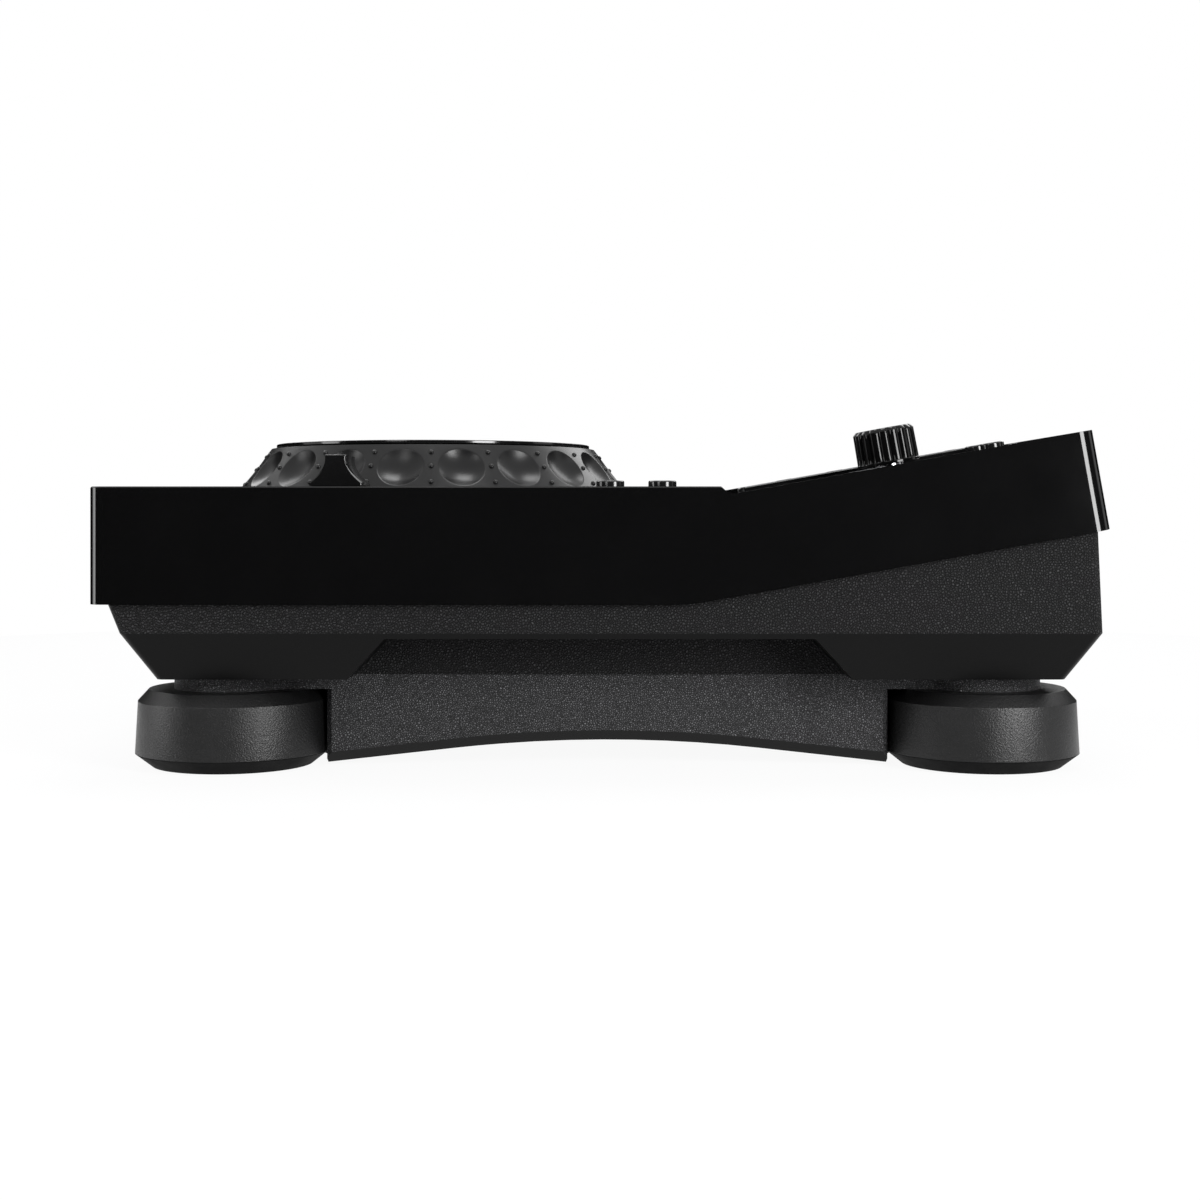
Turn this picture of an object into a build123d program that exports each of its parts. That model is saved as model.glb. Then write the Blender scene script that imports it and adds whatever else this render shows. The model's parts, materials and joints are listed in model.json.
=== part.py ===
"""Desktop media player for a disc jockey: a bent glossy cover over a textured tray, a dimpled jog wheel, a tempo
slider, a rotary selector, push keys, a tilted touch screen, and a waisted plinth on four round feet.

Millimetres. +X is the player's right, +Y its rear, +Z up. The origin is on the table under the middle of the body.
"""

from build123d import *

import os
from math import acos, atan2, cos, hypot, radians, sin, tan

# The cover.
DEPTH = 308.0
DECK_Z = 88.0
COVER_LOW_Z = 52.5
COVER_WALL = 2.5
COVER_CORNER = 5.0
COVER_BEVEL = 0.4
COVER_BEND_RADIUS = 60.0
SEAM = 0.2

# The tilted panel: where it starts behind the jog wheel, and how the cover steps down to it.
TILT = 10.13
TILT_MARGIN = 30.9
DIP = 2.2
DIP_RAMP = 4.0
REAR_WALL = 30.4

# The tray under the cover.
TRAY_INSET = 2.0
TRAY_WALL = 2.5
TRAY_CREASE_Z = 43.7
TRAY_LOW_Z = 29.0
TRAY_CHAMFER = 9.0
TRAY_FRONT_STEP = 8.9
TRAY_FRONT_LEAN = 3.6
TRAY_REAR_STEP = 2.2
TRAY_REAR_LEAN = 1.4
TRAY_CORNER = 2.5
TRAY_LIP_RISE = 5.0
FIT_GAP = 0.3

# The hand pocket in each long side of the tray.
POCKET_DEPTH = 26.6
POCKET_TOP_Z = 42.0
POCKET_HALF_TOP = 65.0
POCKET_SLANT = 12.5

# The plinth.
PLINTH_REACH = 10.0
PLINTH_SAG = 4.0
PLINTH_WALL = 3.0
PLINTH_BEVEL = 3.4
PLINTH_CORNER = 2.2
ARCH_MID_Z = 7.7
ARCH_ROUND = 0.79
ARCH_END_Z = 0.8
NECK_RADIUS = 18.5
NECK_BLEND = 9.0
FOOT_CLEAR = 0.8

# The feet.
FOOT_INSET = 36.0
FOOT_FRONT = 36.55
FOOT_REAR = 31.95
FOOT_RADIUS = 30.6
FOOT_TAPER = 0.9
FOOT_CROWN_RADIUS = 26.3
FOOT_BEVEL_Z = 20.7
FOOT_TOP_Z = 24.4
FOOT_WALL = 3.0
FOOT_BOSS_RADIUS = 6.0
PAD_RADIUS = 25.3
PAD_THICK = 4.2
PAD_HOLE_RADIUS = 7.0
FOOT_SCREW_RADIUS = 2.0
FOOT_SCREW_HEAD_RADIUS = 4.0
FOOT_SCREW_HEAD = 2.4
FOOT_SCREW_Z = 10.0
FOOT_SCREW_LENGTH = 28.0
SCREW_GAP = 0.05

# The jog wheel.
JOG_MARGIN = 23.0
JOG_RADIUS = 70.2
JOG_LEAN = 11.6
JOG_TOP_Z = 102.9
JOG_WELL_GAP = 1.0
JOG_SKIRT = 2.8
JOG_WALL = 6.0
JOG_WEB = 2.5
JOG_HUB_RADIUS = 9.0
PLATE_INSET = 1.8
PLATE_THICK = 1.2
PLATE_GAP = 0.4
PLATE_TRAVEL = 0.3
PLATE_BEVEL = 0.3
PLATE_PIN_RADIUS = 2.5
PLATE_PIN_LENGTH = 6.0
DIMPLES = 20
DIMPLE_RADIUS = 7.8
DIMPLE_DEPTH = 2.6
DIMPLE_Z = 95.2
DIMPLE_TURN = 4.6
STUD_RADIUS = 0.85
STUD_HEIGHTS = (90.2, 95.5, 100.2)
SHAFT_RADIUS = 4.0
RUNNING_GAP = 0.05
SHAFT_COLLAR_RADIUS = 6.0
SHAFT_COLLAR = 1.5
BEARING_RADIUS = 11.0
BEARING_WIDTH = 6.0
BEARING_LEDGE = 1.0
HUB_WALL = 3.0
HUB_DROP = 20.0
BASE_FLANGE = 4.0
BASE_THICK = 2.5
BASE_DROP = 5.5
CODE_DISC_RADIUS = 26.0
CODE_DISC_THICK = 0.8
CODE_DISC_DROP = 3.0
CODE_SLITS = 36
CODE_SLIT_LENGTH = 4.0
CODE_SLIT_WIDTH = 1.4
SENSOR_GAP = 0.8

# The keys. A key's cap rises out of the cover, and a lip under the cover holds it in. They stand in a strip on each
# side of the jog wheel, and the two strips and the wheel make up the player's width.
STRIP_WIDTH = 43.8
KEY_GAP = 0.35
KEY_LIP = 1.1
KEY_LIP_THICK = 1.0
KEY_LIP_GAP = 0.2
KEY_TRAVEL = 0.5
KEY_EDGE = 0.5
KEY_CORNER = 1.8
SWITCH_GAP = 0.1
SWITCH_SIDE = 6.0
SWITCH_BODY = 3.4
SWITCH_TIP_RADIUS = 1.7
SWITCH_TIP = 0.8
BOARD_THICK = 1.6
BOARD_POST_RADIUS = 2.2
BOARD_MARGIN = 2.0
TRANSPORT_RADIUS = 12.0
TRANSPORT_RISE = 2.4
TRANSPORT_PITCH = 31.0
PLAY_FRONT = 28.0
LIGHT_RING = 1.8
SEARCH_WIDTH = 13.0
SEARCH_DEPTH = 7.0
SEARCH_PITCH_X = 17.0
SEARCH_PITCH_Y = 15.0
SEARCH_START = 29.0
LOW_RISE = 1.5
LOOP_RADIUS = 4.2
LOOP_START = 17.3
LOOP_PITCH = 19.0
TEMPO_KEY_RADIUS = 4.4
TEMPO_KEY_RISE = 2.1
TEMPO_KEY_BACK = 37.1
TEMPO_KEY_PITCH = 16.3
LIST_KEY_RADIUS = 3.4
LIST_KEY_RISE = 1.6
LIST_KEY_BACK = 26.47
LIST_KEY_PITCH = 22.0
MENU_WIDTH = 8.6
MENU_DEPTH = 6.5
MENU_INSET = 9.2
MENU_PITCH = 22.0
STOP_KEY_RADIUS = 2.6
STOP_KEY_PITCH = 22.0

# The tempo slider.
TEMPO_START = 72.8
TEMPO_TRAVEL = 30.0
CAP_WIDTH = 20.0
CAP_HEIGHT = 9.9
CAP_TOP_HALF = 3.2
CAP_FLARE_HALF = 8.05
CAP_FLARE_BOW = 1.6
CAP_FOOT = 1.0
CAP_GAP = 0.25
CAP_BEVEL = 0.3
CAP_SOCKET_DEPTH = 6.0
LEVER_THICK = 1.2
LEVER_LENGTH = 5.0
SLOT_WIDTH = 3.0
SLOT_END = 1.0
FADER_WIDTH = 14.0
FADER_HEIGHT = 11.0
FADER_WALL = 1.5
FADER_END = 8.0
CARRIAGE_HEIGHT = 4.5
CARRIAGE_LENGTH = 9.0

# The rotary selector.
SELECTOR_INSET = 34.0
SELECTOR_BACK = 57.17
SELECTOR_RADIUS = 9.95
SELECTOR_TAPER = 0.25
SELECTOR_TOP = 12.1
SELECTOR_LIFT = 0.8
SELECTOR_FLUTES = 18
SELECTOR_FLUTE_RADIUS = 1.15
SELECTOR_FLUTE_RIM = 1.0
SELECTOR_BEVEL = 0.9
SELECTOR_TRAVEL = 0.5
SELECTOR_SHAFT_RADIUS = 3.0
SELECTOR_CAP = 2.0
BUSHING_RADIUS = 4.5
BUSHING_RISE = 1.0
ENCODER_SIDE = 13.0
ENCODER_FLOOR = 1.0
PLUNGER_THICK = 1.2

# The screen, let into the tilted panel.
SCREEN_INSET = 19.0
SELECTOR_STRIP = 53.0
SCREEN_S = 5.5
STICK_STRIP = 14.57
SCREEN_CORNER = 3.0
BEZEL_LAP = 3.0
BEZEL_PROUD = 1.4
BEZEL_SKIRT = 6.0
BEZEL_WALL = 1.6
GLASS_THICK = 1.6
GLASS_SINK = 0.3
SCREEN_GAP = 0.2
BRACKET_THICK = 1.2
BRACKET_RAIL = 2.4

# The rear bay with its sockets.
BAY_INSET = 25.0
BAY_LOW_Z = 46.5
BAY_HIGH_Z = 69.0
BAY_DEPTH = 10.0
BAY_FRAME = 3.0
REAR_PANEL_THICK = 1.5
SOCKET_Z = 57.0
SOCKET_GAP = 0.15
JACK_BOARD_Z = 50.0
JACK_BOARD_INSET = 4.0
JACK_BOARD_DEPTH = 32.0
RCA_RADIUS = 4.15
RCA_RING_RADIUS = 6.2
RCA_RING = 1.6
RCA_LENGTH = 8.5
RCA_BORE = 1.6
RCA_PITCH = 14.0
RCA_INSET = 18.0
RCA_BODY_WIDTH = 11.0
RCA_BODY_LENGTH = 11.0
LINK_PITCH = 32.0
LINK_WIDTH = 16.0
LINK_HEIGHT = 13.6
LINK_LENGTH = 18.0
LINK_MOUTH_WIDTH = 11.8
LINK_MOUTH_HEIGHT = 8.2
LINK_MOUTH_DEPTH = 12.0
USB_B_PITCH = 28.0
USB_B_WIDTH = 12.0
USB_B_HEIGHT = 10.9
USB_B_LENGTH = 16.0
USB_B_MOUTH = 8.4
USB_B_TONGUE_WIDTH = 5.6
USB_B_TONGUE_HEIGHT = 3.2
SOCKET_DEPTH = 9.0
SOCKET_PIN_SINK = 1.0
INLET_PITCH = 36.0
INLET_WIDTH = 9.0
INLET_HEIGHT = 11.0
INLET_LENGTH = 14.0
INLET_BORE = 3.0
INLET_PIN = 1.0
SWITCH_INSET = 16.0
SWITCH_WIDTH = 18.0
SWITCH_HEIGHT = 13.0
SWITCH_LENGTH = 17.0
SWITCH_WALL = 1.5
POWER_WIDTH = 12.0
POWER_HEIGHT = 7.0
POWER_PROUD = 4.5
POWER_TRAVEL = 3.0
POWER_GAP = 0.3
POWER_LIP = 1.0
HOOK_PITCH = 18.0
HOOK_REACH = 8.0
HOOK_THICK = 2.4
HOOK_HEIGHT = 11.0
HOOK_Z = 50.5

# The socket for a memory stick, let into the panel behind the screen.
STICK_INSET = 37.0
STICK_BACK = 8.57
STICK_WIDTH = 13.2
STICK_HEIGHT = 5.7
STICK_LENGTH = 18.0
STICK_WALL = 0.5
STICK_FLOOR = 3.0
STICK_TONGUE_WIDTH = 11.0
STICK_TONGUE_THICK = 1.8
STICK_TONGUE_SINK = 2.0

# The boards and what they carry.
MAIN_BOARD_Z = 44.0
MAIN_BOARD_INSET = 35.0
MAIN_BOARD_FRONT_GAP = 42.0
MAIN_BOARD_REAR_GAP = 62.0
MAIN_POST_RADIUS = 4.0
MAIN_POST_INSET = 8.0
CHIP_HEIGHT = 1.4
CHIP_SIDE = 24.0
CHIP_X = -30.0
CHIP_BACK = 114.0
SINK_SIDE = 34.0
SINK_HEIGHT = 12.0
SINK_FINS = 8
SINK_FIN = 1.4
SINK_BASE = 3.0

# The case screws and the posts that they draw together.
SCREW_RADIUS = 1.5
SCREW_HEAD_RADIUS = 2.7
SCREW_HEAD = 1.6
SCREW_SINK = 1.0
SCREW_LENGTH = 22.0
POST_RADIUS = 4.0
POST_JOINT_Z = 42.0
FRONT_POST_X = 45.0
FRONT_POST_START = 25.0
REAR_POST_INSET = 14.5
REAR_POST_BACK = 17.0

# Places that follow from the sizes above.
JOG_WELL_RADIUS = JOG_RADIUS + JOG_WELL_GAP
JOG_TOP_RADIUS = JOG_RADIUS - JOG_LEAN
PLATE_RADIUS = JOG_TOP_RADIUS - PLATE_INSET
HALF_WIDTH = JOG_WELL_RADIUS + STRIP_WIDTH
WIDTH = 2 * HALF_WIDTH
FRONT_Y = -DEPTH / 2
REAR_Y = DEPTH / 2
SLOPE = radians(TILT)
JOG_Y = FRONT_Y + JOG_MARGIN + JOG_RADIUS
TILT_Y = JOG_Y + JOG_RADIUS + TILT_MARGIN
TILT_Z = DECK_Z - DIP
PANEL_LENGTH = (REAR_Y - REAR_WALL * sin(SLOPE) - TILT_Y) / cos(SLOPE)
REAR_TOP_Y = TILT_Y + PANEL_LENGTH * cos(SLOPE)
REAR_TOP_Z = TILT_Z + PANEL_LENGTH * sin(SLOPE)
REAR_LOW_Z = REAR_TOP_Z - REAR_WALL * cos(SLOPE)
BEND_Y = REAR_Y - (REAR_LOW_Z - COVER_LOW_Z) / tan(SLOPE)
DECK_UNDER_Z = DECK_Z - COVER_WALL
STRIP_X = (JOG_WELL_RADIUS + HALF_WIDTH) / 2
FOOT_X = HALF_WIDTH - FOOT_INSET
FOOT_YS = (FRONT_Y + FOOT_FRONT, REAR_Y - FOOT_REAR)
FOOT_MID_Y = (FOOT_YS[0] + FOOT_YS[1]) / 2
FOOT_NAMES = ("foot_front_left", "foot_front_right", "foot_rear_left", "foot_rear_right")
FOOT_SPOTS = [(side * FOOT_X, y) for y in FOOT_YS for side in (-1, 1)]
TRAY_HALF = HALF_WIDTH - TRAY_INSET
LOOP_Y = TILT_Y - LOOP_START
TEMPO_Y = FRONT_Y + TEMPO_START
TEMPO_KEY_Y = TILT_Y - TEMPO_KEY_BACK
SCREEN_WIDTH = WIDTH - SCREEN_INSET - SELECTOR_STRIP
SCREEN_LENGTH = PANEL_LENGTH - SCREEN_S - STICK_STRIP
SCREEN_X = -HALF_WIDTH + SCREEN_INSET + SCREEN_WIDTH / 2
SELECTOR_X = HALF_WIDTH - SELECTOR_INSET
SELECTOR_S = PANEL_LENGTH - SELECTOR_BACK
LIST_KEY_S = PANEL_LENGTH - LIST_KEY_BACK
MENU_X = -HALF_WIDTH + MENU_INSET
MENU_S = SCREEN_S + SCREEN_LENGTH / 2
STICK_X = -HALF_WIDTH + STICK_INSET
STICK_S = PANEL_LENGTH - STICK_BACK
STOP_KEY_X = STICK_X + STOP_KEY_PITCH
PLAY_Y = FRONT_Y + PLAY_FRONT
CUE_Y = PLAY_Y + TRANSPORT_PITCH
SEARCH_Y = CUE_Y + SEARCH_START
BAY_HALF = HALF_WIDTH - BAY_INSET
JACK_BOARD_HALF = BAY_HALF - JACK_BOARD_INSET
RCA_X = BAY_HALF - RCA_INSET
LINK_X = RCA_X - LINK_PITCH
USB_B_X = LINK_X - USB_B_PITCH
SWITCH_X = SWITCH_INSET - BAY_HALF
INLET_X = SWITCH_X + INLET_PITCH
HOOK_X = INLET_X + HOOK_PITCH
MAIN_BOARD_HALF = HALF_WIDTH - MAIN_BOARD_INSET
MAIN_BOARD_FRONT = FRONT_Y + MAIN_BOARD_FRONT_GAP
MAIN_BOARD_REAR = REAR_Y - MAIN_BOARD_REAR_GAP
CHIP_Y = REAR_Y - CHIP_BACK
FRONT_POST_Y = FRONT_Y + FRONT_POST_START
REAR_POST_X = HALF_WIDTH - REAR_POST_INSET
REAR_POST_Y = REAR_Y - REAR_POST_BACK
REAR_PANEL_Y = REAR_Y - TRAY_REAR_STEP - BAY_DEPTH
REAR_PANEL_BACK = REAR_PANEL_Y - REAR_PANEL_THICK
JACK_BOARD_REAR = REAR_PANEL_BACK - BAY_FRAME - SOCKET_GAP
JACK_BOARD_FRONT = JACK_BOARD_REAR - JACK_BOARD_DEPTH
PLATE_Z = JOG_TOP_Z + PLATE_GAP
SHAFT_TOP_Z = JOG_TOP_Z - PLATE_PIN_LENGTH - PLATE_GAP
BASE_Z = DECK_UNDER_Z - BASE_DROP
COLLAR_Z = BASE_Z + RUNNING_GAP
HUB_LOW_Z = BASE_Z - HUB_DROP
CODE_DISC_Z = HUB_LOW_Z - CODE_DISC_DROP
MAIN_BOARD_TOP = MAIN_BOARD_Z + BOARD_THICK
KEY_LIP_TOP = -COVER_WALL - KEY_LIP_GAP
KEY_LIP_LOW = KEY_LIP_TOP - KEY_LIP_THICK
SWITCH_TOP = KEY_LIP_LOW - KEY_TRAVEL - SWITCH_GAP
KEY_BOARD_TOP = SWITCH_TOP - SWITCH_BODY - SWITCH_TIP
PLUNGER_LOW = KEY_BOARD_TOP + ENCODER_FLOOR + SELECTOR_TRAVEL + SWITCH_GAP
LIT_KEYS = ("play_button", "cue_button")
FAR = 400.0

UP = (Align.CENTER, Align.CENTER, Align.MIN)


def rod(radius, low, high):
    """An upright cylinder on the local Z axis."""
    return Pos(0, 0, low) * Cylinder(radius, high - low, align=UP)


def pipe(outer, inner, low, high):
    """An upright ring."""
    return rod(outer, low, high) - rod(inner, low - 1, high + 1)


def block(x, y, z):
    """A box from its two bounds on each axis."""
    size = [bound[1] - bound[0] for bound in (x, y, z)]
    return Pos(x[0], y[0], z[0]) * Box(*size, align=(Align.MIN,) * 3)


def slab(width, depth, low, high, corner=0.0):
    """An upright prism, centred, with rounded corners where a corner is given."""
    outline = RectangleRounded(width, depth, corner) if corner else Rectangle(width, depth)
    return Pos(0, 0, low) * extrude(outline, high - low)


def turned(points):
    """A solid of revolution about Z from (r, z) points."""
    outline = make_face(Polyline(*[(r, 0, z) for r, z in points], close=True))
    return revolve(outline, Axis.Z)


def side_face(points):
    """A flat outline of (y, z) points."""
    return make_face(Polyline(*points, close=True))


def across(face, half):
    """A side outline drawn out along X to both sides."""
    return Plane.YZ.location * Pos(0, 0, -half) * extrude(face, 2 * half)


def deck_spot(x, y):
    """A place on the flat deck, Z out of it."""
    return Pos(x, y, DECK_Z)


def slope_spot(x, s):
    """A place on the tilted panel, s up the slope, Z out of it."""
    origin = (x, TILT_Y + s * cos(SLOPE), TILT_Z + s * sin(SLOPE))
    return Plane(origin=origin, x_dir=(1, 0, 0), z_dir=(0, -sin(SLOPE), cos(SLOPE))).location


def joined(shapes):
    """Separate solids of one node."""
    return Compound(children=[solid for shape in shapes for solid in shape.solids()])


class Key:
    """A push key: where it stands, how large it is and how far it rises. A round key has no depth."""

    def __init__(self, spot, width, depth=None, rise=LOW_RISE):
        self.spot = spot
        self.width = width
        self.depth = depth
        self.rise = rise

    def outline(self, grow=0.0):
        if self.depth is None:
            return Circle(self.width / 2 + grow)
        return RectangleRounded(self.width + 2 * grow, self.depth + 2 * grow, KEY_CORNER + grow)

    def hole(self, extra):
        """What the cover loses for the key."""
        return self.spot * Pos(0, 0, -COVER_WALL - 1) * extrude(self.outline(KEY_GAP + extra), COVER_WALL + 2)

    def solid(self):
        cap = Pos(0, 0, KEY_LIP_LOW) * extrude(self.outline(), self.rise - KEY_LIP_LOW)
        cap = fillet(cap.faces().sort_by(Axis.Z)[-1].edges(), KEY_EDGE)
        lip = Pos(0, 0, KEY_LIP_LOW) * extrude(self.outline(KEY_GAP + KEY_LIP), KEY_LIP_THICK)
        return self.spot * (cap + lip)

    def switch(self):
        body = slab(SWITCH_SIDE, SWITCH_SIDE, KEY_BOARD_TOP, KEY_BOARD_TOP + SWITCH_BODY)
        return self.spot * (body + rod(SWITCH_TIP_RADIUS, KEY_BOARD_TOP + SWITCH_BODY, SWITCH_TOP))


def deck_keys():
    """The keys of the flat deck, by node name."""
    keys = {
        "play_button": Key(deck_spot(-STRIP_X, PLAY_Y), 2 * TRANSPORT_RADIUS, rise=TRANSPORT_RISE),
        "cue_button": Key(deck_spot(-STRIP_X, CUE_Y), 2 * TRANSPORT_RADIUS, rise=TRANSPORT_RISE),
    }
    for row, pair in enumerate(("search", "track")):
        for side, way in ((-1, "back"), (1, "forward")):
            spot = deck_spot(-STRIP_X + side * SEARCH_PITCH_X / 2, SEARCH_Y + row * SEARCH_PITCH_Y)
            keys[f"{pair}_{way}_button"] = Key(spot, SEARCH_WIDTH, SEARCH_DEPTH)
    for n, name in enumerate(("loop_in", "loop_out", "loop_exit", "sync")):
        keys[f"{name}_button"] = Key(deck_spot(-STRIP_X + n * LOOP_PITCH, LOOP_Y), 2 * LOOP_RADIUS)
    for n, name in enumerate(("master_tempo", "tempo_range")):
        spot = deck_spot(STRIP_X, TEMPO_KEY_Y + n * TEMPO_KEY_PITCH)
        keys[f"{name}_button"] = Key(spot, 2 * TEMPO_KEY_RADIUS, rise=TEMPO_KEY_RISE)
    return keys


def panel_keys():
    """The keys of the tilted panel, by node name."""
    keys = {}
    for side, name in ((-1, "back"), (1, "tag")):
        spot = slope_spot(SELECTOR_X + side * LIST_KEY_PITCH / 2, LIST_KEY_S)
        keys[f"{name}_button"] = Key(spot, 2 * LIST_KEY_RADIUS, rise=LIST_KEY_RISE)
    for side, name in ((-1, "menu"), (1, "browse")):
        keys[f"{name}_button"] = Key(slope_spot(MENU_X, MENU_S + side * MENU_PITCH / 2), MENU_WIDTH, MENU_DEPTH)
    keys["usb_stop_button"] = Key(slope_spot(STOP_KEY_X, STICK_S), 2 * STOP_KEY_RADIUS)
    return keys


def all_keys():
    """Every push key, by node name."""
    return {**deck_keys(), **panel_keys()}


def cover_outline():
    """The cover's side outline, as (y, z) points."""
    return [
        (FRONT_Y, COVER_LOW_Z),
        (FRONT_Y, DECK_Z),
        (TILT_Y - DIP_RAMP, DECK_Z),
        (TILT_Y - DIP_RAMP / 2, TILT_Z + DIP / 5),
        (TILT_Y, TILT_Z),
        (REAR_TOP_Y, REAR_TOP_Z),
        (REAR_Y, REAR_LOW_Z),
        (BEND_Y, COVER_LOW_Z),
    ]


def bent(face, z):
    """A side outline with its corner at the bend eased into a curve."""
    return fillet(face.vertices().sort_by_distance((BEND_Y, z, 0))[0], COVER_BEND_RADIUS)


def cover_block():
    """The cover before it is hollowed."""
    solid = across(bent(side_face(cover_outline()), COVER_LOW_Z), HALF_WIDTH)
    ends = [e for e in solid.edges() if abs(abs(e.center().X) - HALF_WIDTH) < 0.01 and at_corner(e.center().Y)]
    solid = fillet(ends, COVER_CORNER)
    return chamfer([e for e in solid.edges() if on_rim(e.center())], COVER_BEVEL)


def at_corner(y):
    """Whether a side edge is one of the cover's four corners."""
    return y < FRONT_Y + 0.01 or y > REAR_TOP_Y


def on_rim(point):
    """Whether a point lies on the outer border of the flat deck."""
    outer = abs(point.X) > HALF_WIDTH - COVER_CORNER or point.Y < FRONT_Y + COVER_CORNER
    return outer and abs(point.Z - DECK_Z) < 0.01 and point.Y < TILT_Y - DIP_RAMP - 0.1


def cover_hollow(gap=0.0):
    """The space inside the cover, open below, less a gap all round."""
    inset = COVER_WALL + gap
    solid = across(offset(side_face(cover_outline()), -inset, kind=Kind.INTERSECTION), HALF_WIDTH - inset)
    drop = 2 * inset
    lower = Pos(0, 0, -drop) * solid
    slanted = Pos(0, drop * sin(SLOPE), -drop * cos(SLOPE)) * solid
    return solid + lower + slanted


def below_seam(gap):
    """All that lies under the cover's lower edge, less a gap."""
    edge = COVER_LOW_Z - gap
    far_z = edge + (FAR - BEND_Y) * tan(SLOPE)
    face = side_face([(-FAR, -FAR), (-FAR, edge), (BEND_Y, edge), (FAR, far_z), (FAR, -FAR)])
    return across(bent(face, edge), FAR)


def post_spots():
    """Where the four long screw posts stand."""
    front = [(side * FRONT_POST_X, FRONT_POST_Y) for side in (-1, 1)]
    return front + [(side * REAR_POST_X, REAR_POST_Y) for side in (-1, 1)]


def board_post_places():
    """Where short posts hang the key boards under the cover."""
    between = LOOP_PITCH / 2
    deck = [
        (-STRIP_X, PLAY_Y - TRANSPORT_RADIUS - 3 * BOARD_POST_RADIUS),
        (-STRIP_X + TRANSPORT_RADIUS + 1, (PLAY_Y + CUE_Y) / 2),
        (-STRIP_X, SEARCH_Y + SEARCH_PITCH_Y + 2 * SEARCH_DEPTH),
        (-STRIP_X + between, LOOP_Y),
        (-STRIP_X + between + 2 * LOOP_PITCH, LOOP_Y),
        (STRIP_X, TEMPO_KEY_Y - 2 * TEMPO_KEY_RADIUS - KEY_LIP),
        (STRIP_X, TEMPO_KEY_Y + TEMPO_KEY_PITCH + 2 * TEMPO_KEY_RADIUS + KEY_LIP),
    ]
    panel = [
        (MENU_X, MENU_S),
        (MENU_X, MENU_S + MENU_PITCH),
        (SELECTOR_X, LIST_KEY_S),
        (SELECTOR_X, LIST_KEY_S - 2 * LIST_KEY_RADIUS - 2 * BOARD_POST_RADIUS),
        ((STICK_X + STOP_KEY_X) / 2, STICK_S),
        (STOP_KEY_X + 2 * STOP_KEY_RADIUS + BOARD_POST_RADIUS, STICK_S),
    ]
    return [deck_spot(*place) for place in deck] + [slope_spot(*place) for place in panel]


def top_cover():
    whole = cover_block()
    cover = whole - cover_hollow()
    for x, y in post_spots():
        place = Pos(x, y, 0)
        reach = (REAR_LOW_Z if y > BEND_Y else COVER_LOW_Z) + 2 * COVER_WALL
        cover += place * rod(POST_RADIUS, POST_JOINT_Z, reach)
        cover += (place * rod(POST_RADIUS, reach - 1, FAR)) & whole
        cover -= place * rod(SCREW_RADIUS + SCREW_GAP, POST_JOINT_Z - 1, TRAY_LOW_Z + SCREW_SINK + SCREW_LENGTH + 1)
    for place in board_post_places():
        cover += place * rod(BOARD_POST_RADIUS, KEY_BOARD_TOP, -COVER_WALL)
    cuts = [Pos(0, JOG_Y, 0) * rod(JOG_WELL_RADIUS, DECK_UNDER_Z - 1, DECK_Z + 1)]
    for name, key in all_keys().items():
        cuts.append(key.hole(LIGHT_RING if name in LIT_KEYS else 0.0))
    slot_length = 2 * TEMPO_TRAVEL + LEVER_LENGTH + 2 * SLOT_END
    cuts.append(deck_spot(STRIP_X, TEMPO_Y) * slab(SLOT_WIDTH, slot_length, -COVER_WALL - 1, 1, SLOT_WIDTH / 3))
    cuts.append(selector_place() * rod(BUSHING_RADIUS + KEY_GAP, -COVER_WALL - 1, 1))
    hole = [size - 2 * BEZEL_LAP for size in (SCREEN_WIDTH, SCREEN_LENGTH)]
    cuts.append(screen_place() * slab(*hole, -COVER_WALL - 1, 1, SCREEN_CORNER))
    grow = 2 * (STICK_WALL + SOCKET_GAP)
    cuts.append(slope_spot(STICK_X, STICK_S) * slab(STICK_WIDTH + grow, STICK_HEIGHT + grow, -COVER_WALL - 1, 1))
    return cover - cuts


def screen_place():
    """The middle of the screen, on the panel's surface."""
    return slope_spot(SCREEN_X, SCREEN_S + SCREEN_LENGTH / 2)


def selector_place():
    """The selector's place on the tilted panel."""
    return slope_spot(SELECTOR_X, SELECTOR_S)


def tray_level(z, inset=0.0):
    """The tray's outline at a height, drawn in by an inset."""
    if z < TRAY_CREASE_Z:
        taper = TRAY_CHAMFER * (TRAY_CREASE_Z - z) / (TRAY_CREASE_Z - TRAY_LOW_Z)
        front = rear = 0.0
    else:
        taper = 0.0
        front = TRAY_FRONT_LEAN * (z - TRAY_CREASE_Z) / (COVER_LOW_Z - TRAY_CREASE_Z)
        rear = TRAY_REAR_LEAN * (z - TRAY_CREASE_Z) / (REAR_LOW_Z - TRAY_CREASE_Z)
    half = TRAY_HALF - taper - inset
    y_front = FRONT_Y + TRAY_FRONT_STEP - front + taper + inset
    y_rear = REAR_Y - TRAY_REAR_STEP - rear - taper - inset
    corner = TRAY_CORNER - inset / 2
    return Pos(0, (y_front + y_rear) / 2, z) * RectangleRounded(2 * half, y_rear - y_front, corner)


def tray_body(low, inset):
    """The tray's solid form from a height up past the seam, drawn in by an inset."""
    top = REAR_LOW_Z + 2 * TRAY_LIP_RISE
    lower = loft([tray_level(low, inset), tray_level(TRAY_CREASE_Z, inset)], ruled=True)
    return lower + loft([tray_level(TRAY_CREASE_Z, inset), tray_level(top, inset)], ruled=True)


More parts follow.
